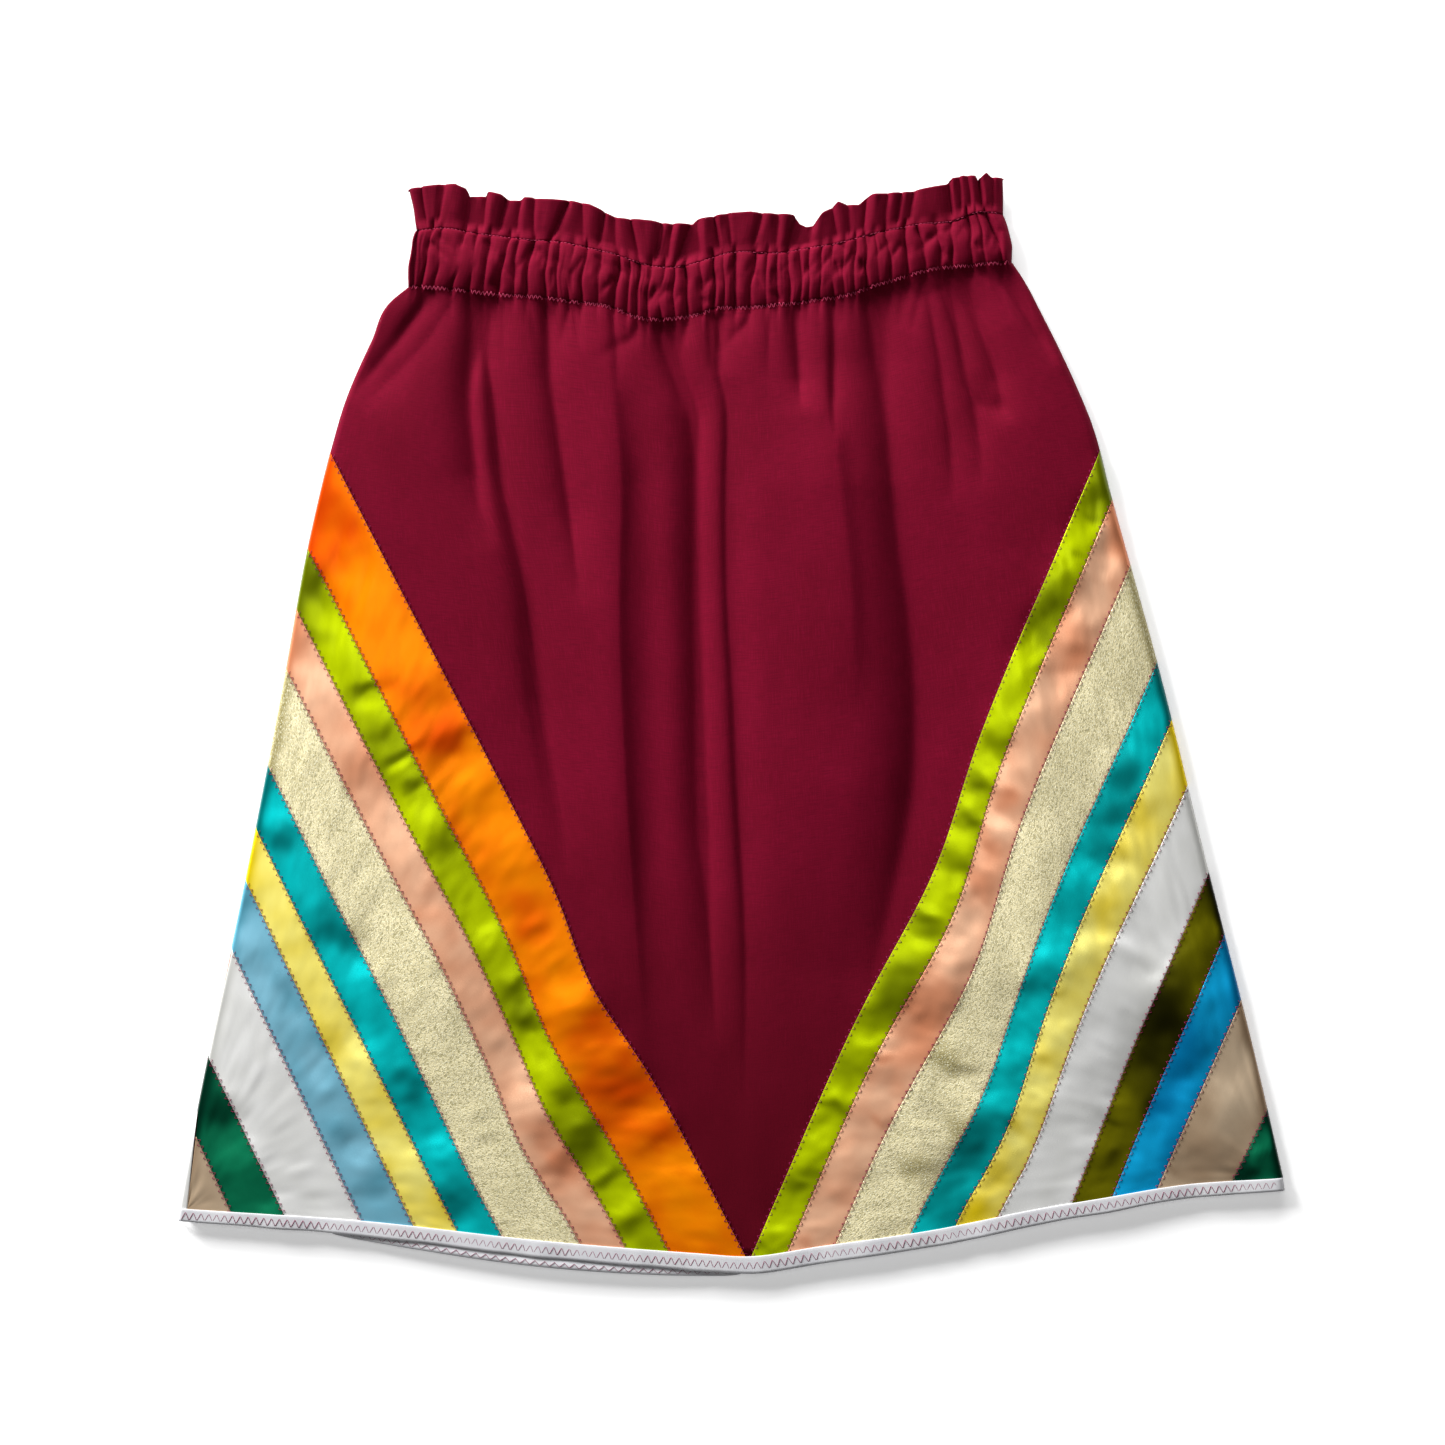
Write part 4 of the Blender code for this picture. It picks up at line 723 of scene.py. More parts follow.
def front_casing(cotton):
    """The front of the elastic casing, puffed between its two lines of stitches."""
    tops = with_ends(GATHERS, 0, STITCH_LEFT, STITCH_RIGHT)
    bottoms = with_ends(GATHERS, 1, WAIST_LEFT, WAIST_RIGHT)
    i, t = gather_columns(tops, 12)
    row = np.linspace(0.0, 1.0, 26)[:, None]
    top_x = between(tops, i, t)[None, :]
    bottom_x = between(bottoms, i, t)[None, :]
    puff = np.sin(math.pi * row)
    across = 2 * (i + t)[None, :] / (len(tops) - 1) - 1
    x = mix(top_x, bottom_x, row) + END_BOW * puff * across ** END_BOW_POWER
    y = mix(smooth(CASING_TOP, 1, top_x), smooth(WAIST_SEAM, 1, bottom_x), row)
    x = x + puff * (2.4 * soft_noise(top_x / 15, row * 1.6, 11) + 0.8 * soft_noise(top_x / 6, row * 3, 15))
    crest = mix(SEAM_CREST_TOP, CASING_CREST_TOP, puff ** CREST_ROUNDNESS)
    uneven = np.random.default_rng(12).random((2, len(tops))) > SHORT_VALLEYS
    held = mix(between(uneven[0], i, np.round(t))[None, :], between(uneven[1], i, np.round(t))[None, :], row)
    dip = gather_dip(bottom_x) * mix(1.0, held, puff ** 0.6)
    z = mix(crest, VALLEY_TOP + 1.5 * puff, np.clip(dip, 0.0, 1.0))
    z = z + puff * (0.6 * soft_noise(top_x / 7, row * 1.6, 13) + 0.25 * soft_noise(top_x / 4, row * 4, 14))
    z = np.maximum(z - fold_drop(x, y, CASING_FOLDS + casing_creases(), 0.6), LOWEST_CASING_TOP)
    z = mix(RIM_TOP, z, rim(bottom_x, WAIST_LEFT, WAIST_RIGHT))
    piece = make_shell("front_casing_cloth", np.stack([x, y, z], axis=-1), COTTON, cotton)
    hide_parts("front_casing")


def wave_height(i, t):
    """Height from 0 to 1 of the header between two of its valleys."""
    heights = np.array([FIRST_WAVE_HEIGHT] + [row[3] for row in WAVES])
    depths = np.array(with_ends(WAVES, 2, END_DIP, END_DIP))
    padded = np.concatenate([heights[:1], heights, heights[-1:]])
    lows = np.minimum(padded[:-1], padded[1:]) * (1 - depths)
    low = mix(lows[i], lows[i + 1], t)
    edges = np.array(with_ends(WAVES, 0, HEADER_LEFT, STITCH_RIGHT))
    reach = (WAVE_FOOT * FOOT_REACH[0], WAVE_FOOT * FOOT_REACH[1])
    dip = foot(t, edges[i + 1] - edges[i], np.ones(len(edges)), i, reach)
    return heights[i] - (heights[i] - low) * dip


def stitch_line_top(x):
    """Heights of the cloth along the upper stitches."""
    tops = with_ends(GATHERS, 0, STITCH_LEFT, STITCH_RIGHT)
    bottoms = with_ends(GATHERS, 1, WAIST_LEFT, WAIST_RIGHT)
    bottom_x = np.interp(x, tops, bottoms)
    z = mix(SEAM_CREST_TOP, VALLEY_TOP, gather_dip(bottom_x))
    return mix(RIM_TOP, z, rim(bottom_x, WAIST_LEFT, WAIST_RIGHT))


def front_header(cotton):
    """The ruffled header above the casing, waving more towards its folded edge."""
    edges = with_ends(WAVES, 0, HEADER_LEFT, STITCH_RIGHT)
    seams = with_ends(WAVES, 1, STITCH_LEFT, STITCH_RIGHT)
    i, t = gather_columns(edges, 14)
    row = np.linspace(0.0, 1.0, 22)[:, None]
    edge_x = between(edges, i, t)[None, :]
    seam_x = between(seams, i, t)[None, :]
    y = mix(smooth(CASING_TOP, 1, seam_x), straight(HEADER_EDGE, 1, edge_x), row)
    crest = mix(HEADER_STITCH_CREST_TOP, HEADER_EDGE_CREST_TOP, row ** 0.8)
    z = mix(VALLEY_TOP, crest, wave_height(i, t)[None, :])
    z = z + (0.25 + row) * 0.5 * soft_noise(edge_x / 4, row * 2, 21)
    x = mix(seam_x, edge_x, row) + row * 0.8 * soft_noise(edge_x / 6, row * 2, 22)
    z = mix(RIM_TOP, z, rim(seam_x, STITCH_LEFT, STITCH_RIGHT))
    away = np.clip(row / HEADER_START, 0.0, 1.0)
    z = mix(stitch_line_top(seam_x), z, away * away * (3 - 2 * away))
    top = np.stack([x, y, z], axis=-1)
    last = top[-1:]
    turned = [last + np.array([0, rise, -fall]) for rise, fall in ((0.3, 0.5), (0.1, 1.2), (-0.8, 1.5))]
    piece = make_shell("front_header_cloth", np.concatenate([top] + turned), COTTON, cotton)
    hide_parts("front_header")


def span_share(span, y):
    return (span[0] - y) / (span[0] - span[1])


def side_point(side, y):
    """X of the panel's side at heights in plan, the back ribbon's line included."""
    if side == "left":
        x = smooth(SIDES, 1, span_share(LEFT_SPAN, y))
        (ax, ay), (bx, by) = BACK_RIBBON_LINE
        return np.where(y < ay, mix(ax, bx, (ay - y) / (ay - by)), x)
    return smooth(SIDES, 2, span_share(RIGHT_SPAN, y))


def ribbon_plan(side, upper, lower, along, across):
    """Plan points of a ribbon: rows along it from the side to the hem, columns across it."""
    side_y = mix(upper[0][1], lower[0][1], across)
    hem_x = mix(upper[1][0], lower[1][0], across)
    side_x = side_point(side, side_y)
    hem_y = smooth(HEM_SEAM, 1, hem_x)
    x = mix(side_x[None, :], hem_x[None, :], along[:, None])
    y = mix(side_y[None, :], hem_y[None, :], along[:, None])
    return x, y


def satin_ribbon(side, row, lower, material, seed):
    """One ribbon of the V, from the skirt's side to the hem binding."""
    name, slot_name = row[0], row[3]
    upper = row[1:3]
    length = math.dist(*upper)
    along = np.linspace(0.0, 1.0 + TUCK / length, max(30, int(length / ROW_STEP)))
    x, y = ribbon_plan(side, upper, lower, along, ACROSS)
    x, y, lift = bend_plan(x, y)
    painted_sheen = satin_tips(x, y)[1]
    under_z = panel_top(x, y, lift) + RIBBON_GAP
    sewn = np.sin(math.pi * ACROSS)[None, :] ** 0.5
    edge = np.minimum(1.0, np.minimum(ACROSS, 1 - ACROSS)[None, :] / 0.03) ** 0.5
    millimetres = along[:, None] * length
    puckers = soft_noise(millimetres / 9, ACROSS[None, :] * 2.2, seed)
    puckers = 0.3 + 0.26 * puckers + 0.07 * soft_noise(millimetres / 7, ACROSS[None, :] * 2.5, seed + 1)
    z = under_z + mix(0.6, SATIN, edge) + sewn * puckers
    top = np.stack([x, y, z], axis=-1)
    under = np.stack([x, y, under_z], axis=-1)
    outward = -1 if side == "left" else 1
    over = side_wrap(x[0], y[0], outward, RIBBON_WRAP)
    inner = side_wrap(x[0], y[0], outward, RIBBON_INNER_WRAP)
    top = np.concatenate([np.array(over), top])
    under = np.concatenate([np.array(inner), under])
    painted_sheen = np.concatenate([np.repeat(painted_sheen[:1], len(over), axis=0), painted_sheen])
    piece = make_shell("%s_ribbon_%s" % (name, side), top, SATIN, material, under, painted_sheen)
    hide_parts("ribbon_%s_%s" % (side, name))


def make_ribbons(materials):
    corner = {"left": ((-375, -334), (-375.5, -334)), "right": ((381, -313), (380.5, -313))}
    for side, rows in (("left", LEFT_RIBBONS), ("right", RIGHT_RIBBONS)):
        lowers = [row[1:3] for row in rows[1:]] + [corner[side]]
        for k, (row, lower) in enumerate(zip(rows, lowers)):
            satin_ribbon(side, row, lower, materials[row[3]], 100 + 10 * k + (side == "right"))


def back_panel(cotton):
    """The back of the skirt, flat on the surface inside the front's folded sides."""
    stations = np.linspace(WAIST_LEFT, WAIST_RIGHT, 90)
    x, y = panel_plan(stations, np.linspace(0.0, 1.0, 90))
    left, right = x[:, :1], x[:, -1:]
    x = left + BACK_INSET + (x - left) * (right - left - 2 * BACK_INSET) / (right - left)
    z = BACK_LAYER + 0.25 * soft_noise(x / 30, y / 50, 31)
    piece = make_shell("back_panel_cloth", np.stack([x, y, z], axis=-1), COTTON, cotton)
    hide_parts("back_panel")


def back_strip(name, node, lower_ends, upper_ends, lower, upper, cotton):
    """A gathered strip of the back between two lines, pressed flat underneath."""
    t = np.linspace(0.0, 1.0, 300)[None, :]
    row = np.linspace(0.0, 1.0, 12)[:, None]
    low_x = mix(*lower_ends, t)
    high_x = mix(*upper_ends, t)
    x = mix(low_x, high_x, row)
    y = mix(lower(low_x), upper(high_x), row)
    z = BACK_LAYER + 1.1 * np.maximum(0.0, np.sin(2 * math.pi * x / 17)) + 0.2 * soft_noise(x / 5, y / 8, 33)
    piece = make_shell(name, np.stack([x, y, z], axis=-1), COTTON, cotton)
    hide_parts(node)


def back_waist(cotton):
    """The back of the casing and of the header."""
    waist = (WAIST_LEFT + BACK_INSET, WAIST_RIGHT - BACK_INSET)
    stitch = (STITCH_LEFT + BACK_INSET, STITCH_RIGHT - BACK_INSET)
    back_strip("back_casing_cloth", "back_casing", waist, stitch, lambda x: smooth(WAIST_SEAM, 1, x),
               lambda x: smooth(CASING_TOP, 1, x), cotton)
    back_strip("back_header_cloth", "back_header", stitch, stitch, lambda x: smooth(CASING_TOP, 1, x),
               lambda x: straight(HEADER_EDGE, 1, x) - 2.0, cotton)


def binding_depth(x):
    """Height of the hem binding, least at the corners of the hem."""
    return mix(BINDING_DEPTH_CENTRE, BINDING_DEPTH_CORNER, (x / HEM_RIGHT) ** 2)


def front_binding(tape):
    """The front's hem binding: a folded tape over the cloth's and the ribbons' lower ends."""
    x = np.linspace(HEM_LEFT, HEM_RIGHT, 460)
    y = smooth(HEM_SEAM, 1, x)
    height = panel_top(x, y)
    depth = binding_depth(x)
    wave = 0.35 * soft_noise(x / 26, x * 0, 41)
    rows = []
    for share, rise in TAPE_PROFILE:
        row_y = y + 0.3 - share * depth + wave * share
        row_z = height + rise + 0.3 * share * soft_noise(x / 17, x * 0, 42)
        rows.append(np.stack([x * mix(1.0, BINDING_FLARE, share), row_y, row_z], axis=-1))
    piece = make_shell("hem_binding_front_tape", np.array(rows), COTTON, tape)
    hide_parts("hem_binding_front")


def back_hem_drop(x):
    """How far below the hem seam the back's binding ends."""
    start, end, most = BACK_HEM
    across = np.clip((x - start) / (end - start), 0.0, 1.0)
    return binding_depth(x) - 0.6 + np.sqrt(np.sin(math.pi * across)) * (most + 0.6)


def back_tape_top(x, share):
    """Heights of the back's binding, which curls up where it shows."""
    curl = np.clip((back_hem_drop(x) - binding_depth(x)) / BACK_HEM[2], 0.0, 1.0)
    return straight(BACK_TAPE_PROFILE, 1, share) * mix(0.6, 1.0, curl)


def back_binding(tape):
    """The back's hem binding, which shows below the front's on the left half."""
    x = np.linspace(HEM_LEFT + BACK_INSET, HEM_RIGHT - BACK_INSET, 420)
    y = smooth(HEM_SEAM, 1, x)
    drop = back_hem_drop(x)
    rows = []
    for share, _ in BACK_TAPE_PROFILE:
        rows.append(np.stack([x, y - share * drop, back_tape_top(x, share)], axis=-1))
    piece = make_shell("hem_binding_back_tape", np.array(rows), COTTON, tape)
    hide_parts("hem_binding_back")


def side_sliver(name, node, material, ends, widths):
    """A ribbon of the back round the left side: its ends in y, its widths there, and its way up the side."""
    t = np.linspace(0.0, 1.0, 40)
    y = mix(*ends, t)
    width = mix(*widths, t)
    side_x = smooth(SIDES, 1, span_share(LEFT_SPAN, y))
    x = side_x[:, None] + width[:, None] * np.linspace(1.0, 0.0, 6)[None, :]
    y = np.repeat(y[:, None], 6, axis=1)
    under_z = panel_top(x, y) + RIBBON_GAP
    top = np.stack([x, y, under_z + SATIN], axis=-1)
    under = np.stack([x, y, under_z], axis=-1)
    over = side_wrap(x[:, -1], y[:, -1], -1, RIBBON_WRAP[::-1])
    inner = side_wrap(x[:, -1], y[:, -1], -1, RIBBON_INNER_WRAP[::-1])
    top = np.concatenate([top] + [edge[:, None] for edge in over], axis=1)
    under = np.concatenate([under] + [edge[:, None] for edge in inner], axis=1)
    # An even painted sheen, a little towards the lighter tone
    piece = make_shell(name, top, SATIN, material, under, np.full(top.shape[:2], 0.2))
    if node:
        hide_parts(node)


def stitch_tubes(holes, radius, rise, gap=0.0):
    """Threads from each needle hole to the next, as points and faces of four-sided tubes."""
    start, end = holes[:-1], holes[1:]
    if gap:
        start, end = mix(start, end, gap / 2), mix(end, start, gap / 2)
    run = end - start
    run_flat = run[:, :2] / np.maximum(np.linalg.norm(run[:, :2], axis=1, keepdims=True), 1e-6)
    side = np.stack([-run_flat[:, 1], run_flat[:, 0], np.zeros(len(run))], axis=1)
    up = np.array([0.0, 0.0, 1.0])
    rings = []
    for share, lift in ((0.0, -0.3), (0.16, rise), (0.84, rise), (1.0, -0.3)):
        middle = mix(start, end, share) + up * lift
        corners = [middle + radius * (math.cos(turn) * side + math.sin(turn) * up)
                   for turn in (-math.pi / 4, math.pi / 4, 3 * math.pi / 4, 5 * math.pi / 4)]
        rings.append(np.stack(corners, axis=1))
    points = np.stack(rings, axis=1).reshape(-1, 3)
    base = (np.arange(len(run)) * 16)[:, None]
    tube = []
    for ring in range(3):
        for k in range(4):
            a, b = ring * 4 + k, ring * 4 + (k + 1) % 4
            tube.append((a, b, b + 4, a + 4))
    tube += [(3, 2, 1, 0), (12, 13, 14, 15)]
    faces = (base[:, :, None] + np.array(tube)[None]).reshape(-1, 4)
    length = np.linalg.norm(run, axis=1)
    done = np.concatenate([[0.0], np.cumsum(length)[:-1]])
    along = done[:, None, None] + length[:, None, None] * np.array([0.0, 0.16, 0.84, 1.0])[None, :, None]
    around = np.broadcast_to(np.arange(4) / 4, (len(run), 4, 4))
    flat = np.stack([np.broadcast_to(along * MM, around.shape), around], axis=-1).reshape(-1, 2)
    return points, faces, flat


def join_stitches(name, lines, radius, rise, material, gap=0.0):
    """One piece from the threads of several lines of needle holes."""
    points, faces, flats, count = [], [], [], 0
    for holes in lines:
        more_points, more_faces, more_flat = stitch_tubes(np.asarray(holes, dtype=float), radius, rise, gap)
        points.append(more_points)
        faces.append(more_faces + count)
        flats.append(more_flat)
        count += len(more_points)
    mesh = bpy.data.meshes.new(name)
    mesh.from_pydata((np.concatenate(points) * MM).tolist(), [], np.concatenate(faces).tolist())
    lay_flat(mesh, np.concatenate(flats))
    mesh.shade_smooth()
    mesh.materials.append(material)
    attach(put_in_scene(name, mesh), "root")


def zigzag(x, y, width):
    """Needle holes to either side of a line, in turn."""
    run = np.gradient(np.stack([x, y], axis=1), axis=0)
    run /= np.linalg.norm(run, axis=1, keepdims=True)
    side = np.where(np.arange(len(x)) % 2, 1.0, -1.0) * width / 2
    return x - run[:, 1] * side, y + run[:, 0] * side


def ribbon_stitches(thread):
    """A zigzag over the upper edge of every ribbon."""
    lines = []
    for side, rows in (("left", LEFT_RIBBONS), ("right", RIGHT_RIBBONS)):
        for number, row in enumerate(rows):
            ay, bx = row[1][1], row[2][0]
            ax, by = float(side_point(side, ay)), float(smooth(HEM_SEAM, 1, bx))
            length = math.dist((ax, ay), (bx, by))
            along = np.arange(1.0, length + 1.0, RIBBON_ZIGZAG[0]) / length
            x, y = zigzag(mix(ax, bx, along), mix(ay, by, along), RIBBON_ZIGZAG[1])
            x, y, lift = bend_plan(x, y)
            z = panel_top(x, y, lift)
            on_ribbon = RIBBON_GAP + SATIN + 0.4
            inner = np.arange(len(x)) % 2 == (1 if rows is RIGHT_RIBBONS else 0)
            z = z + np.where(inner | (number > 0), on_ribbon, 0.2)
            lines.append(np.stack([x, y, z], axis=1))
    join_stitches("ribbon_edge_stitches", lines, RIBBON_ZIGZAG[2], 0.1, thread)


def hem_stitches(thread):
    """Wide zigzags that hold the binding, on the front and on what shows of the back."""
    x = np.arange(HEM_LEFT + 2, HEM_RIGHT - 1, HEM_ZIGZAG[0])
    y = smooth(HEM_SEAM, 1, x) - binding_depth(x) * 0.5
    z = panel_top(x, smooth(HEM_SEAM, 1, x)) + TAPE_TOP
    zig_x, zig_y = zigzag(x, y, HEM_ZIGZAG[1])
    holes = np.stack([zig_x, zig_y, z], axis=1)
    join_stitches("hem_stitches_front", [holes], HEM_ZIGZAG[2], 0.05, thread)
    x = np.arange(-268.0, 0.0, BACK_HEM_ZIGZAG[0])
    drop = back_hem_drop(x)
    y = smooth(HEM_SEAM, 1, x) - drop + BACK_STITCHES_FROM_EDGE
    zig_x, zig_y = zigzag(x, y, BACK_HEM_ZIGZAG[1])
    z = back_tape_top(x, 1 - BACK_STITCHES_FROM_EDGE / drop) + 0.1
    holes = np.stack([zig_x, zig_y, z], axis=1)
    join_stitches("hem_stitches_back", [holes], BACK_HEM_ZIGZAG[2], 0.05, thread)


def waist_stitches(thread):
    """The zigzag at the waist seam and the fine straight line above the casing."""
    x = np.arange(WAIST_LEFT + 3, WAIST_RIGHT - 2, WAIST_ZIGZAG[0])
    y = smooth(WAIST_SEAM, 1, x)
    zig_x, zig_y = zigzag(x, y, WAIST_ZIGZAG[1])
    dip = gather_dip(zig_x)
    seam = mix(SEAM_CREST_TOP, VALLEY_TOP, dip) + 0.35 - 2.0 * np.clip(dip - 0.2, 0.0, 1.0)
    seam = mix(RIM_TOP, seam, rim(zig_x, WAIST_LEFT, WAIST_RIGHT))
    holes = np.stack([zig_x, zig_y, seam], axis=1)
    join_stitches("waist_seam_stitches", [holes], WAIST_ZIGZAG[2], 0.1, thread)
    x = np.arange(STITCH_LEFT + 3, STITCH_RIGHT - 2, STRAIGHT_STITCH[0])
    y = smooth(CASING_TOP, 1, x)
    holes = np.stack([x, y, stitch_line_top(x) + 0.1], axis=1)
    join_stitches("casing_top_stitches", [holes], STRAIGHT_STITCH[1], 0.1, thread, gap=0.3)


def new_material(name):
    material = bpy.data.materials.new(name)
    material.use_nodes = True
    return material, material.node_tree, material.node_tree.nodes["Principled BSDF"]


def feed(tree, node, inputs):
    """Gives a node its inputs, which are values or sockets to link."""
    for key, value in inputs.items():
        if isinstance(value, bpy.types.NodeSocket):
            tree.links.new(value, node.inputs[key])
        else:
            node.inputs[key].default_value = value
    return node


def add_node(tree, kind, inputs=None, **settings):
    """A node with settings as its properties."""
    node = tree.nodes.new(kind)
    for key, value in settings.items():
        setattr(node, key, value)
    return feed(tree, node, inputs or {})


def new_group(name, inputs, outputs):
    """A shader node group with named sockets: its tree, and the sockets of its two ends."""
    tree = bpy.data.node_groups.new(name, "ShaderNodeTree")
    for socket, kind, value in inputs:
        made = tree.interface.new_socket(socket, in_out="INPUT", socket_type=kind)
        if value is not None:
            made.default_value = value
    for socket, kind in outputs:
        tree.interface.new_socket(socket, in_out="OUTPUT", socket_type=kind)
    return tree, tree.nodes.new("NodeGroupInput").outputs, tree.nodes.new("NodeGroupOutput").inputs


def maths(tree, operation, first, second=0.0):
    node = add_node(tree, "ShaderNodeMath", {0: first, 1: second}, operation=operation)
    return node.outputs[0]


def plain_weave_group():
    """Threads that pass over and under each other, as a height."""
    tree, given, made = new_group(
        "plain weave", [("Cloth", "NodeSocketVector", None), ("Thread Pitch", "NodeSocketFloat", 0.0005)],
        [("Height", "NodeSocketFloat")])
    axes = add_node(tree, "ShaderNodeSeparateXYZ", {0: given["Cloth"]})
    turn = maths(tree, "DIVIDE", math.pi, given["Thread Pitch"])
    across = maths(tree, "SINE", maths(tree, "MULTIPLY", axes.outputs["X"], turn))
    along = maths(tree, "SINE", maths(tree, "MULTIPLY", axes.outputs["Y"], turn))
    height = maths(tree, "MULTIPLY", across, along)
    tree.links.new(maths(tree, "MULTIPLY", height, height), made["Height"])
    return tree


def dye_group():
    """Uneven dye: soft clouds and fine slubs along the threads, as a mask around one half."""
    tree, given, made = new_group(
        "uneven dye", [("Cloth", "NodeSocketVector", None), ("Cloud Size", "NodeSocketFloat", 0.05),
                       ("Slub Length", "NodeSocketFloat", 0.012)],
        [("Mask", "NodeSocketFloat"), ("Slubs", "NodeSocketFloat")])
    size = maths(tree, "DIVIDE", 1.0, given["Cloud Size"])
    stretch = maths(tree, "DIVIDE", 1.0, given["Slub Length"])
    drawn = scaled(tree, given["Cloth"], maths(tree, "MULTIPLY", stretch, 22.0), stretch)
    tree.links.new(noise(tree, given["Cloth"], size, 3.0), made["Mask"])
    tree.links.new(noise(tree, drawn, 1.0, 2.0), made["Slubs"])
    return tree


def satin_floats_group():
    """The long floating threads of satin: fine lines along the ribbon and faint bars across it."""
    tree, given, made = new_group(
        "satin floats", [("Cloth", "NodeSocketVector", None), ("Float Width", "NodeSocketFloat", 0.0003)],
        [("Height", "NodeSocketFloat"), ("Bars", "NodeSocketFloat")])
    finer = maths(tree, "DIVIDE", 1.0, given["Float Width"])
    drawn = scaled(tree, given["Cloth"], finer, maths(tree, "MULTIPLY", finer, 0.02))
    across, along = maths(tree, "MULTIPLY", finer, 0.012), maths(tree, "MULTIPLY", finer, 0.05)
    barred = scaled(tree, given["Cloth"], across, along)
    tree.links.new(noise(tree, drawn, 1.0, 1.0), made["Height"])
    tree.links.new(noise(tree, barred, 1.0, 0.0), made["Bars"])
    return tree


def use_group(tree, group, inputs):
    return add_node(tree, "ShaderNodeGroup", inputs, node_tree=group).outputs


def cloth_coordinates(tree):
    """Metres across and along the cloth, from the layer that every shell carries."""
    return add_node(tree, "ShaderNodeUVMap", uv_map="cloth").outputs[0]


def blended(tree, factor, first, second):
    """A colour between two, each an RGB triple or a socket."""
    colours = [(*colour, 1) if isinstance(colour, tuple) else colour for colour in (first, second)]
    node = add_node(tree, "ShaderNodeMix", {0: factor, 6: colours[0], 7: colours[1]}, data_type="RGBA")
    return node.outputs[2]


def ranged(tree, value, low, high, to_low=0.0, to_high=1.0):
    """A mask stretched from one range to another, and kept inside it."""
    node = add_node(tree, "ShaderNodeMapRange", {0: value, 1: low, 2: high, 3: to_low, 4: to_high})
    return node.outputs[0]


def relief(tree, *bumps):
    """A normal from several bumps, each a height, its distance in metres and its strength."""
    inputs = {}
    for height, distance, strength in bumps:
        inputs.update({"Height": height, "Distance": distance, "Strength": strength})
        inputs["Normal"] = add_node(tree, "ShaderNodeBump", inputs).outputs[0]
    return inputs["Normal"]


def noise(tree, vector, scale, detail, **more):
    inputs = {"Vector": vector, "Scale": scale, "Detail": detail, **more}
    return add_node(tree, "ShaderNodeTexNoise", inputs).outputs["Fac"]


def scaled(tree, vector, x, y):
    """A vector with its first two parts multiplied, each by a value or a socket."""
    factors = add_node(tree, "ShaderNodeCombineXYZ", {0: x, 1: y, 2: 1.0}).outputs[0]
    return add_node(tree, "ShaderNodeVectorMath", {0: vector, 1: factors}, operation="MULTIPLY").outputs[0]


def cotton_material(groups):
    """Burgundy cotton: a plain weave with soft clouds in its dye and slubs along the threads, and painted
    shade in the weave's hollows and towards the hem.
    """
    material, tree, shader = new_material("burgundy_cotton_woven")
    cloth = cloth_coordinates(tree)
    weave = use_group(tree, groups["weave"], {"Cloth": cloth, "Thread Pitch": 0.00042})
    dye = use_group(tree, groups["dye"], {"Cloth": cloth, "Cloud Size": 0.07, "Slub Length": 0.014})
    clouds = ranged(tree, dye["Mask"], 0.35, 0.65)
    colour = blended(tree, clouds, (0.142, 0.0014, 0.0130), (0.174, 0.0021, 0.0180))
    colour = blended(tree, ranged(tree, dye["Slubs"], 0.45, 0.75, 0.0, 0.5), colour, (0.24, 0.005, 0.032))
    picks = noise(tree, scaled(tree, cloth, 90.0, 1500.0), 1.0, 2.0)
    colour = blended(tree, ranged(tree, picks, 0.3, 0.6, 0.5, 0.0), colour, (0.085, 0.001, 0.010))
    # Painted shade: darker where the weave is low, in the hollows between threads
    colour = blended(tree, ranged(tree, weave["Height"], 0.0, 1.0, 0.35, 0.0), colour, (0.065, 0.001, 0.008))
    # Painted shade: darker along the cloth's length towards the hem, where less light falls
    length = add_node(tree, "ShaderNodeSeparateXYZ", {0: cloth}).outputs["Y"]
    colour = blended(tree, ranged(tree, length, 0.34, 0.60, 0.0, 0.85), colour, (0.075, 0.001, 0.006))
    feed(tree, shader, {
        "Base Color": colour, "Roughness": ranged(tree, dye["Slubs"], 0.3, 0.7, 0.72, 0.86),
        "Normal": relief(tree, (weave["Height"], 0.0001, 0.5), (dye["Slubs"], 0.00025, 0.4)),
        "Specular IOR Level": 0.04, "Sheen Weight": 0.02, "Sheen Roughness": 0.5,
        "Sheen Tint": (0.8, 0.15, 0.3, 1)})
    return material


def painted_sheen_mask(tree):
    """Painted sheen as a mask: 0 for painted shade where the satin turns from the light, 1 for painted
    highlight where it turns to it.
    """
    shown = add_node(tree, "ShaderNodeAttribute", attribute_name="painted_sheen")
    return ranged(tree, shown.outputs["Fac"], -1.0, 1.0)


def satin_material(name, light, dark, groups):
    """Glossy ribbon: fine floats along it, faint bars across, and painted light and shade: a deeper tone
    where it turns away from the light, a lighter one where it turns to it.
    """
    material, tree, shader = new_material(name)
    cloth = cloth_coordinates(tree)
    floats = use_group(tree, groups["floats"], {"Cloth": cloth, "Float Width": 0.00035})
    dye = use_group(tree, groups["dye"], {"Cloth": cloth, "Cloud Size": 0.02, "Slub Length": 0.02})
    # Painted light and shade: the colour runs from the darker tone to the lighter one with the painted sheen
    colour = blended(tree, painted_sheen_mask(tree), dark, light)
    colour = blended(tree, ranged(tree, dye["Mask"], 0.3, 0.6, 0.18, 0.0), colour, dark)
    colour = blended(tree, ranged(tree, floats["Bars"], 0.2, 0.8, 0.08, 0.0), colour, dark)
    feed(tree, shader, {
        "Base Color": colour, "Roughness": ranged(tree, floats["Bars"], 0.3, 0.7, 0.29, 0.34),
        "Normal": relief(tree, (floats["Height"], 0.00005, 0.4), (floats["Bars"], 0.0001, 0.15)),
        "Metallic": 0.3, "Specular IOR Level": 0.06})
    return material


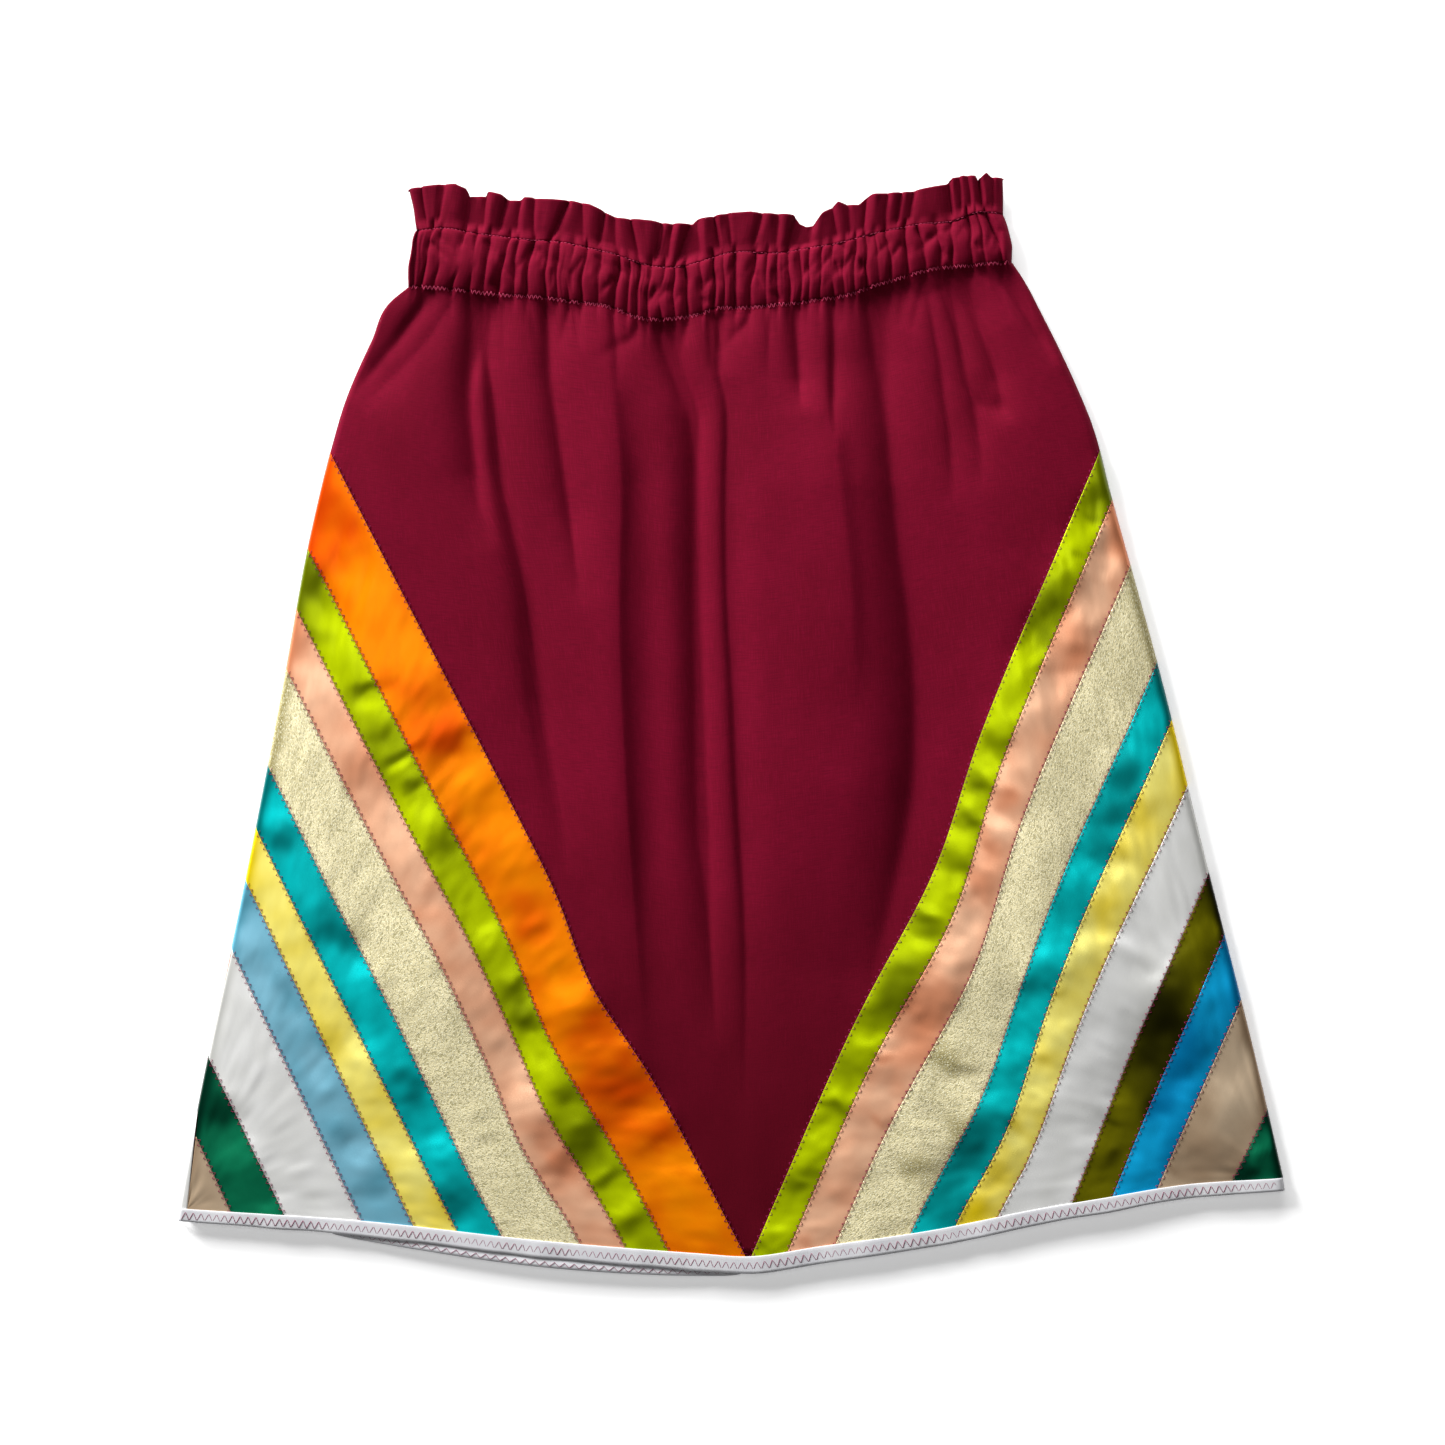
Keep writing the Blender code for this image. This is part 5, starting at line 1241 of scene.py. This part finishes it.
def lame_material(light, dark, groups):
    """Gold lame: crinkled metal threads in short flecks beside duller ones, glossy sparks with painted
    glints, and painted shade where the cloth turns from the light.
    """
    material, tree, shader = new_material("lame_gold_woven")
    cloth = cloth_coordinates(tree)
    flecks = noise(tree, cloth, 480.0, 2.0, Distortion=1.2)
    glossy_painted_glints = noise(tree, cloth, 900.0, 1.0)
    dye = use_group(tree, groups["dye"], {"Cloth": cloth, "Cloud Size": 0.03, "Slub Length": 0.01})
    base = blended(tree, ranged(tree, dye["Mask"], 0.3, 0.7), mid_tone(light, dark), light)
    # Painted shade: a deep brownish gold where the painted sheen says the cloth turns from the light
    base = blended(tree, ranged(tree, painted_sheen_mask(tree), 0.1, 0.6), (0.31, 0.26, 0.10), base)
    colour = blended(tree, ranged(tree, flecks, 0.37, 0.52), dark, base)
    # Painted glints: pale gold mixed into the colour on the glossy sparks
    colour = blended(tree, ranged(tree, glossy_painted_glints, 0.56, 0.68, 0.0, 0.8), colour, (0.92, 0.90, 0.68))
    feed(tree, shader, {
        "Base Color": colour, "Roughness": ranged(tree, glossy_painted_glints, 0.3, 0.7, 0.55, 0.32),
        "Normal": relief(tree, (flecks, 0.0005, 0.7), (glossy_painted_glints, 0.0002, 0.5)),
        "Metallic": 0.2, "Specular IOR Level": 0.2})
    return material


def mid_tone(light, dark):
    return tuple((a + b) / 2 for a, b in zip(light, dark))


def tape_material(groups):
    """White binding tape: a soft close weave with clouds in its dye, and painted shade that greys the weave's
    hollows.
    """
    material, tree, shader = new_material("hem_tape_woven")
    cloth = cloth_coordinates(tree)
    weave = use_group(tree, groups["weave"], {"Cloth": cloth, "Thread Pitch": 0.0006})
    dye = use_group(tree, groups["dye"], {"Cloth": cloth, "Cloud Size": 0.02, "Slub Length": 0.008})
    colour = blended(tree, ranged(tree, dye["Mask"], 0.35, 0.65), (0.545, 0.545, 0.57), (0.60, 0.60, 0.615))
    # Painted shade: greyer where the weave is low, in the hollows between threads
    colour = blended(tree, ranged(tree, weave["Height"], 0.0, 1.0, 0.12, 0.0), colour, (0.44, 0.44, 0.48))
    feed(tree, shader, {
        "Base Color": colour, "Roughness": ranged(tree, dye["Slubs"], 0.3, 0.7, 0.55, 0.7),
        "Normal": relief(tree, (weave["Height"], 0.00005, 0.5), (dye["Slubs"], 0.00012, 0.4)),
        "Specular IOR Level": 0.2, "Sheen Weight": 0.05})
    return material


def twisted_thread_group():
    """Two plies twisted round each other: a height that runs slantwise round the thread."""
    tree, given, made = new_group(
        "twisted thread", [("Thread", "NodeSocketVector", None), ("Twist", "NodeSocketFloat", 0.0009)],
        [("Height", "NodeSocketFloat")])
    axes = add_node(tree, "ShaderNodeSeparateXYZ", {0: given["Thread"]})
    turns = maths(tree, "ADD", maths(tree, "DIVIDE", axes.outputs["X"], given["Twist"]), axes.outputs["Y"])
    wave = maths(tree, "SINE", maths(tree, "MULTIPLY", turns, 4 * math.pi))
    tree.links.new(maths(tree, "MULTIPLY", wave, 0.5), made["Height"])
    return tree


def thread_material(name, light, dark, groups):
    """Sewing thread: two twisted plies with painted shade between them, and uneven dye."""
    material, tree, shader = new_material(name)
    thread = cloth_coordinates(tree)
    twist = use_group(tree, groups["twist"], {"Thread": thread, "Twist": 0.0009})
    dye = use_group(tree, groups["dye"], {"Cloth": thread, "Cloud Size": 0.01, "Slub Length": 0.004})
    # Painted shade: the darker colour between the plies, the lighter one on them
    colour = blended(tree, ranged(tree, twist["Height"], -0.5, 0.5), dark, light)
    colour = blended(tree, ranged(tree, dye["Mask"], 0.35, 0.65, 0.3, 0.0), colour, dark)
    feed(tree, shader, {
        "Base Color": colour, "Roughness": ranged(tree, dye["Slubs"], 0.3, 0.7, 0.4, 0.6),
        "Normal": relief(tree, (twist["Height"], 0.0001, 0.6)), "Specular IOR Level": 0.1})
    return material


def make_camera():
    """A camera straight above the skirt, with the waist at the top of its view."""
    data = bpy.data.cameras.new("camera")
    data.lens = LENS
    camera = put_in_scene("camera", data)
    camera.location = (VIEW_MIDDLE[0] * MM, VIEW_MIDDLE[1] * MM, VIEW_HEIGHT * MM)
    bpy.context.scene.camera = camera


def make_light(name, place, size, watts):
    """A rectangular light that shines at the skirt's middle."""
    data = bpy.data.lights.new(name, "AREA")
    data.shape = "RECTANGLE"
    data.size, data.size_y = size
    data.energy = watts
    light = put_in_scene(name, data)
    light.location = place
    light.rotation_euler = (-Vector(place)).to_track_quat("-Z", "Y").to_euler()


def make_studio():
    """A white floor under plain soft lights."""
    mesh = bpy.data.meshes.new("floor")
    reach = 4.0
    mesh.from_pydata([(-reach, -reach, 0), (reach, -reach, 0), (reach, reach, 0), (-reach, reach, 0)], [],
                     [(0, 1, 2, 3)])
    floor = put_in_scene("floor", mesh)
    floor.location.z = -0.0002
    material, _, shader = new_material("floor_paper")
    shader.inputs["Base Color"].default_value = (0.95, 0.95, 0.95, 1)
    shader.inputs["Roughness"].default_value = 0.9
    shader.inputs["Specular IOR Level"].default_value = 0.0
    shader.inputs["Emission Color"].default_value = (1, 1, 1, 1)
    shader.inputs["Emission Strength"].default_value = FLOOR_GLOW
    mesh.materials.append(material)
    world = bpy.data.worlds.new("studio")
    world.use_nodes = True
    world.node_tree.nodes["Background"].inputs["Color"].default_value = (1, 1, 1, 1)
    world.node_tree.nodes["Background"].inputs["Strength"].default_value = WORLD_LIGHT
    bpy.context.scene.world = world
    bpy.context.scene.view_settings.view_transform = "Standard"
    for light in LIGHTS:
        make_light(*light)


def main():
    groups = {"weave": plain_weave_group(), "dye": dye_group(), "floats": satin_floats_group(),
              "twist": twisted_thread_group()}
    burgundy = cotton_material(groups)
    materials = {name: satin_material(name + "_woven", light, dark, groups) for name, light, dark in SATINS}
    materials["lame_gold"] = lame_material((0.88, 0.79, 0.49), (0.44, 0.39, 0.20), groups)
    front_panel(burgundy)
    front_casing(burgundy)
    front_header(burgundy)
    tape = tape_material(groups)
    # Each thread's lighter colour, then its darker one: painted shade between the plies and the tone of its
    # dye's clouds
    maroon = thread_material("maroon_thread_spun", (0.32, 0.012, 0.09), (0.15, 0.004, 0.045), groups)
    pink = thread_material("pink_thread_spun", (0.72, 0.085, 0.18), (0.42, 0.03, 0.09), groups)
    coral = satin_material("satin_coral_woven", (0.62, 0.16, 0.10), (0.40, 0.08, 0.05), groups)
    make_ribbons(materials)
    side_sliver("white_ribbon_back", "back_ribbon_white", materials["satin_white"],
                (-268, -335), (0.3, 6.0))
    side_sliver("coral_ribbon_back", None, coral, (-156, -218), (0.8, 1.2))
    back_panel(burgundy)
    back_waist(burgundy)
    front_binding(tape)
    back_binding(tape)
    ribbon_stitches(maroon)
    hem_stitches(maroon)
    waist_stitches(pink)
    make_camera()
    make_studio()


main()
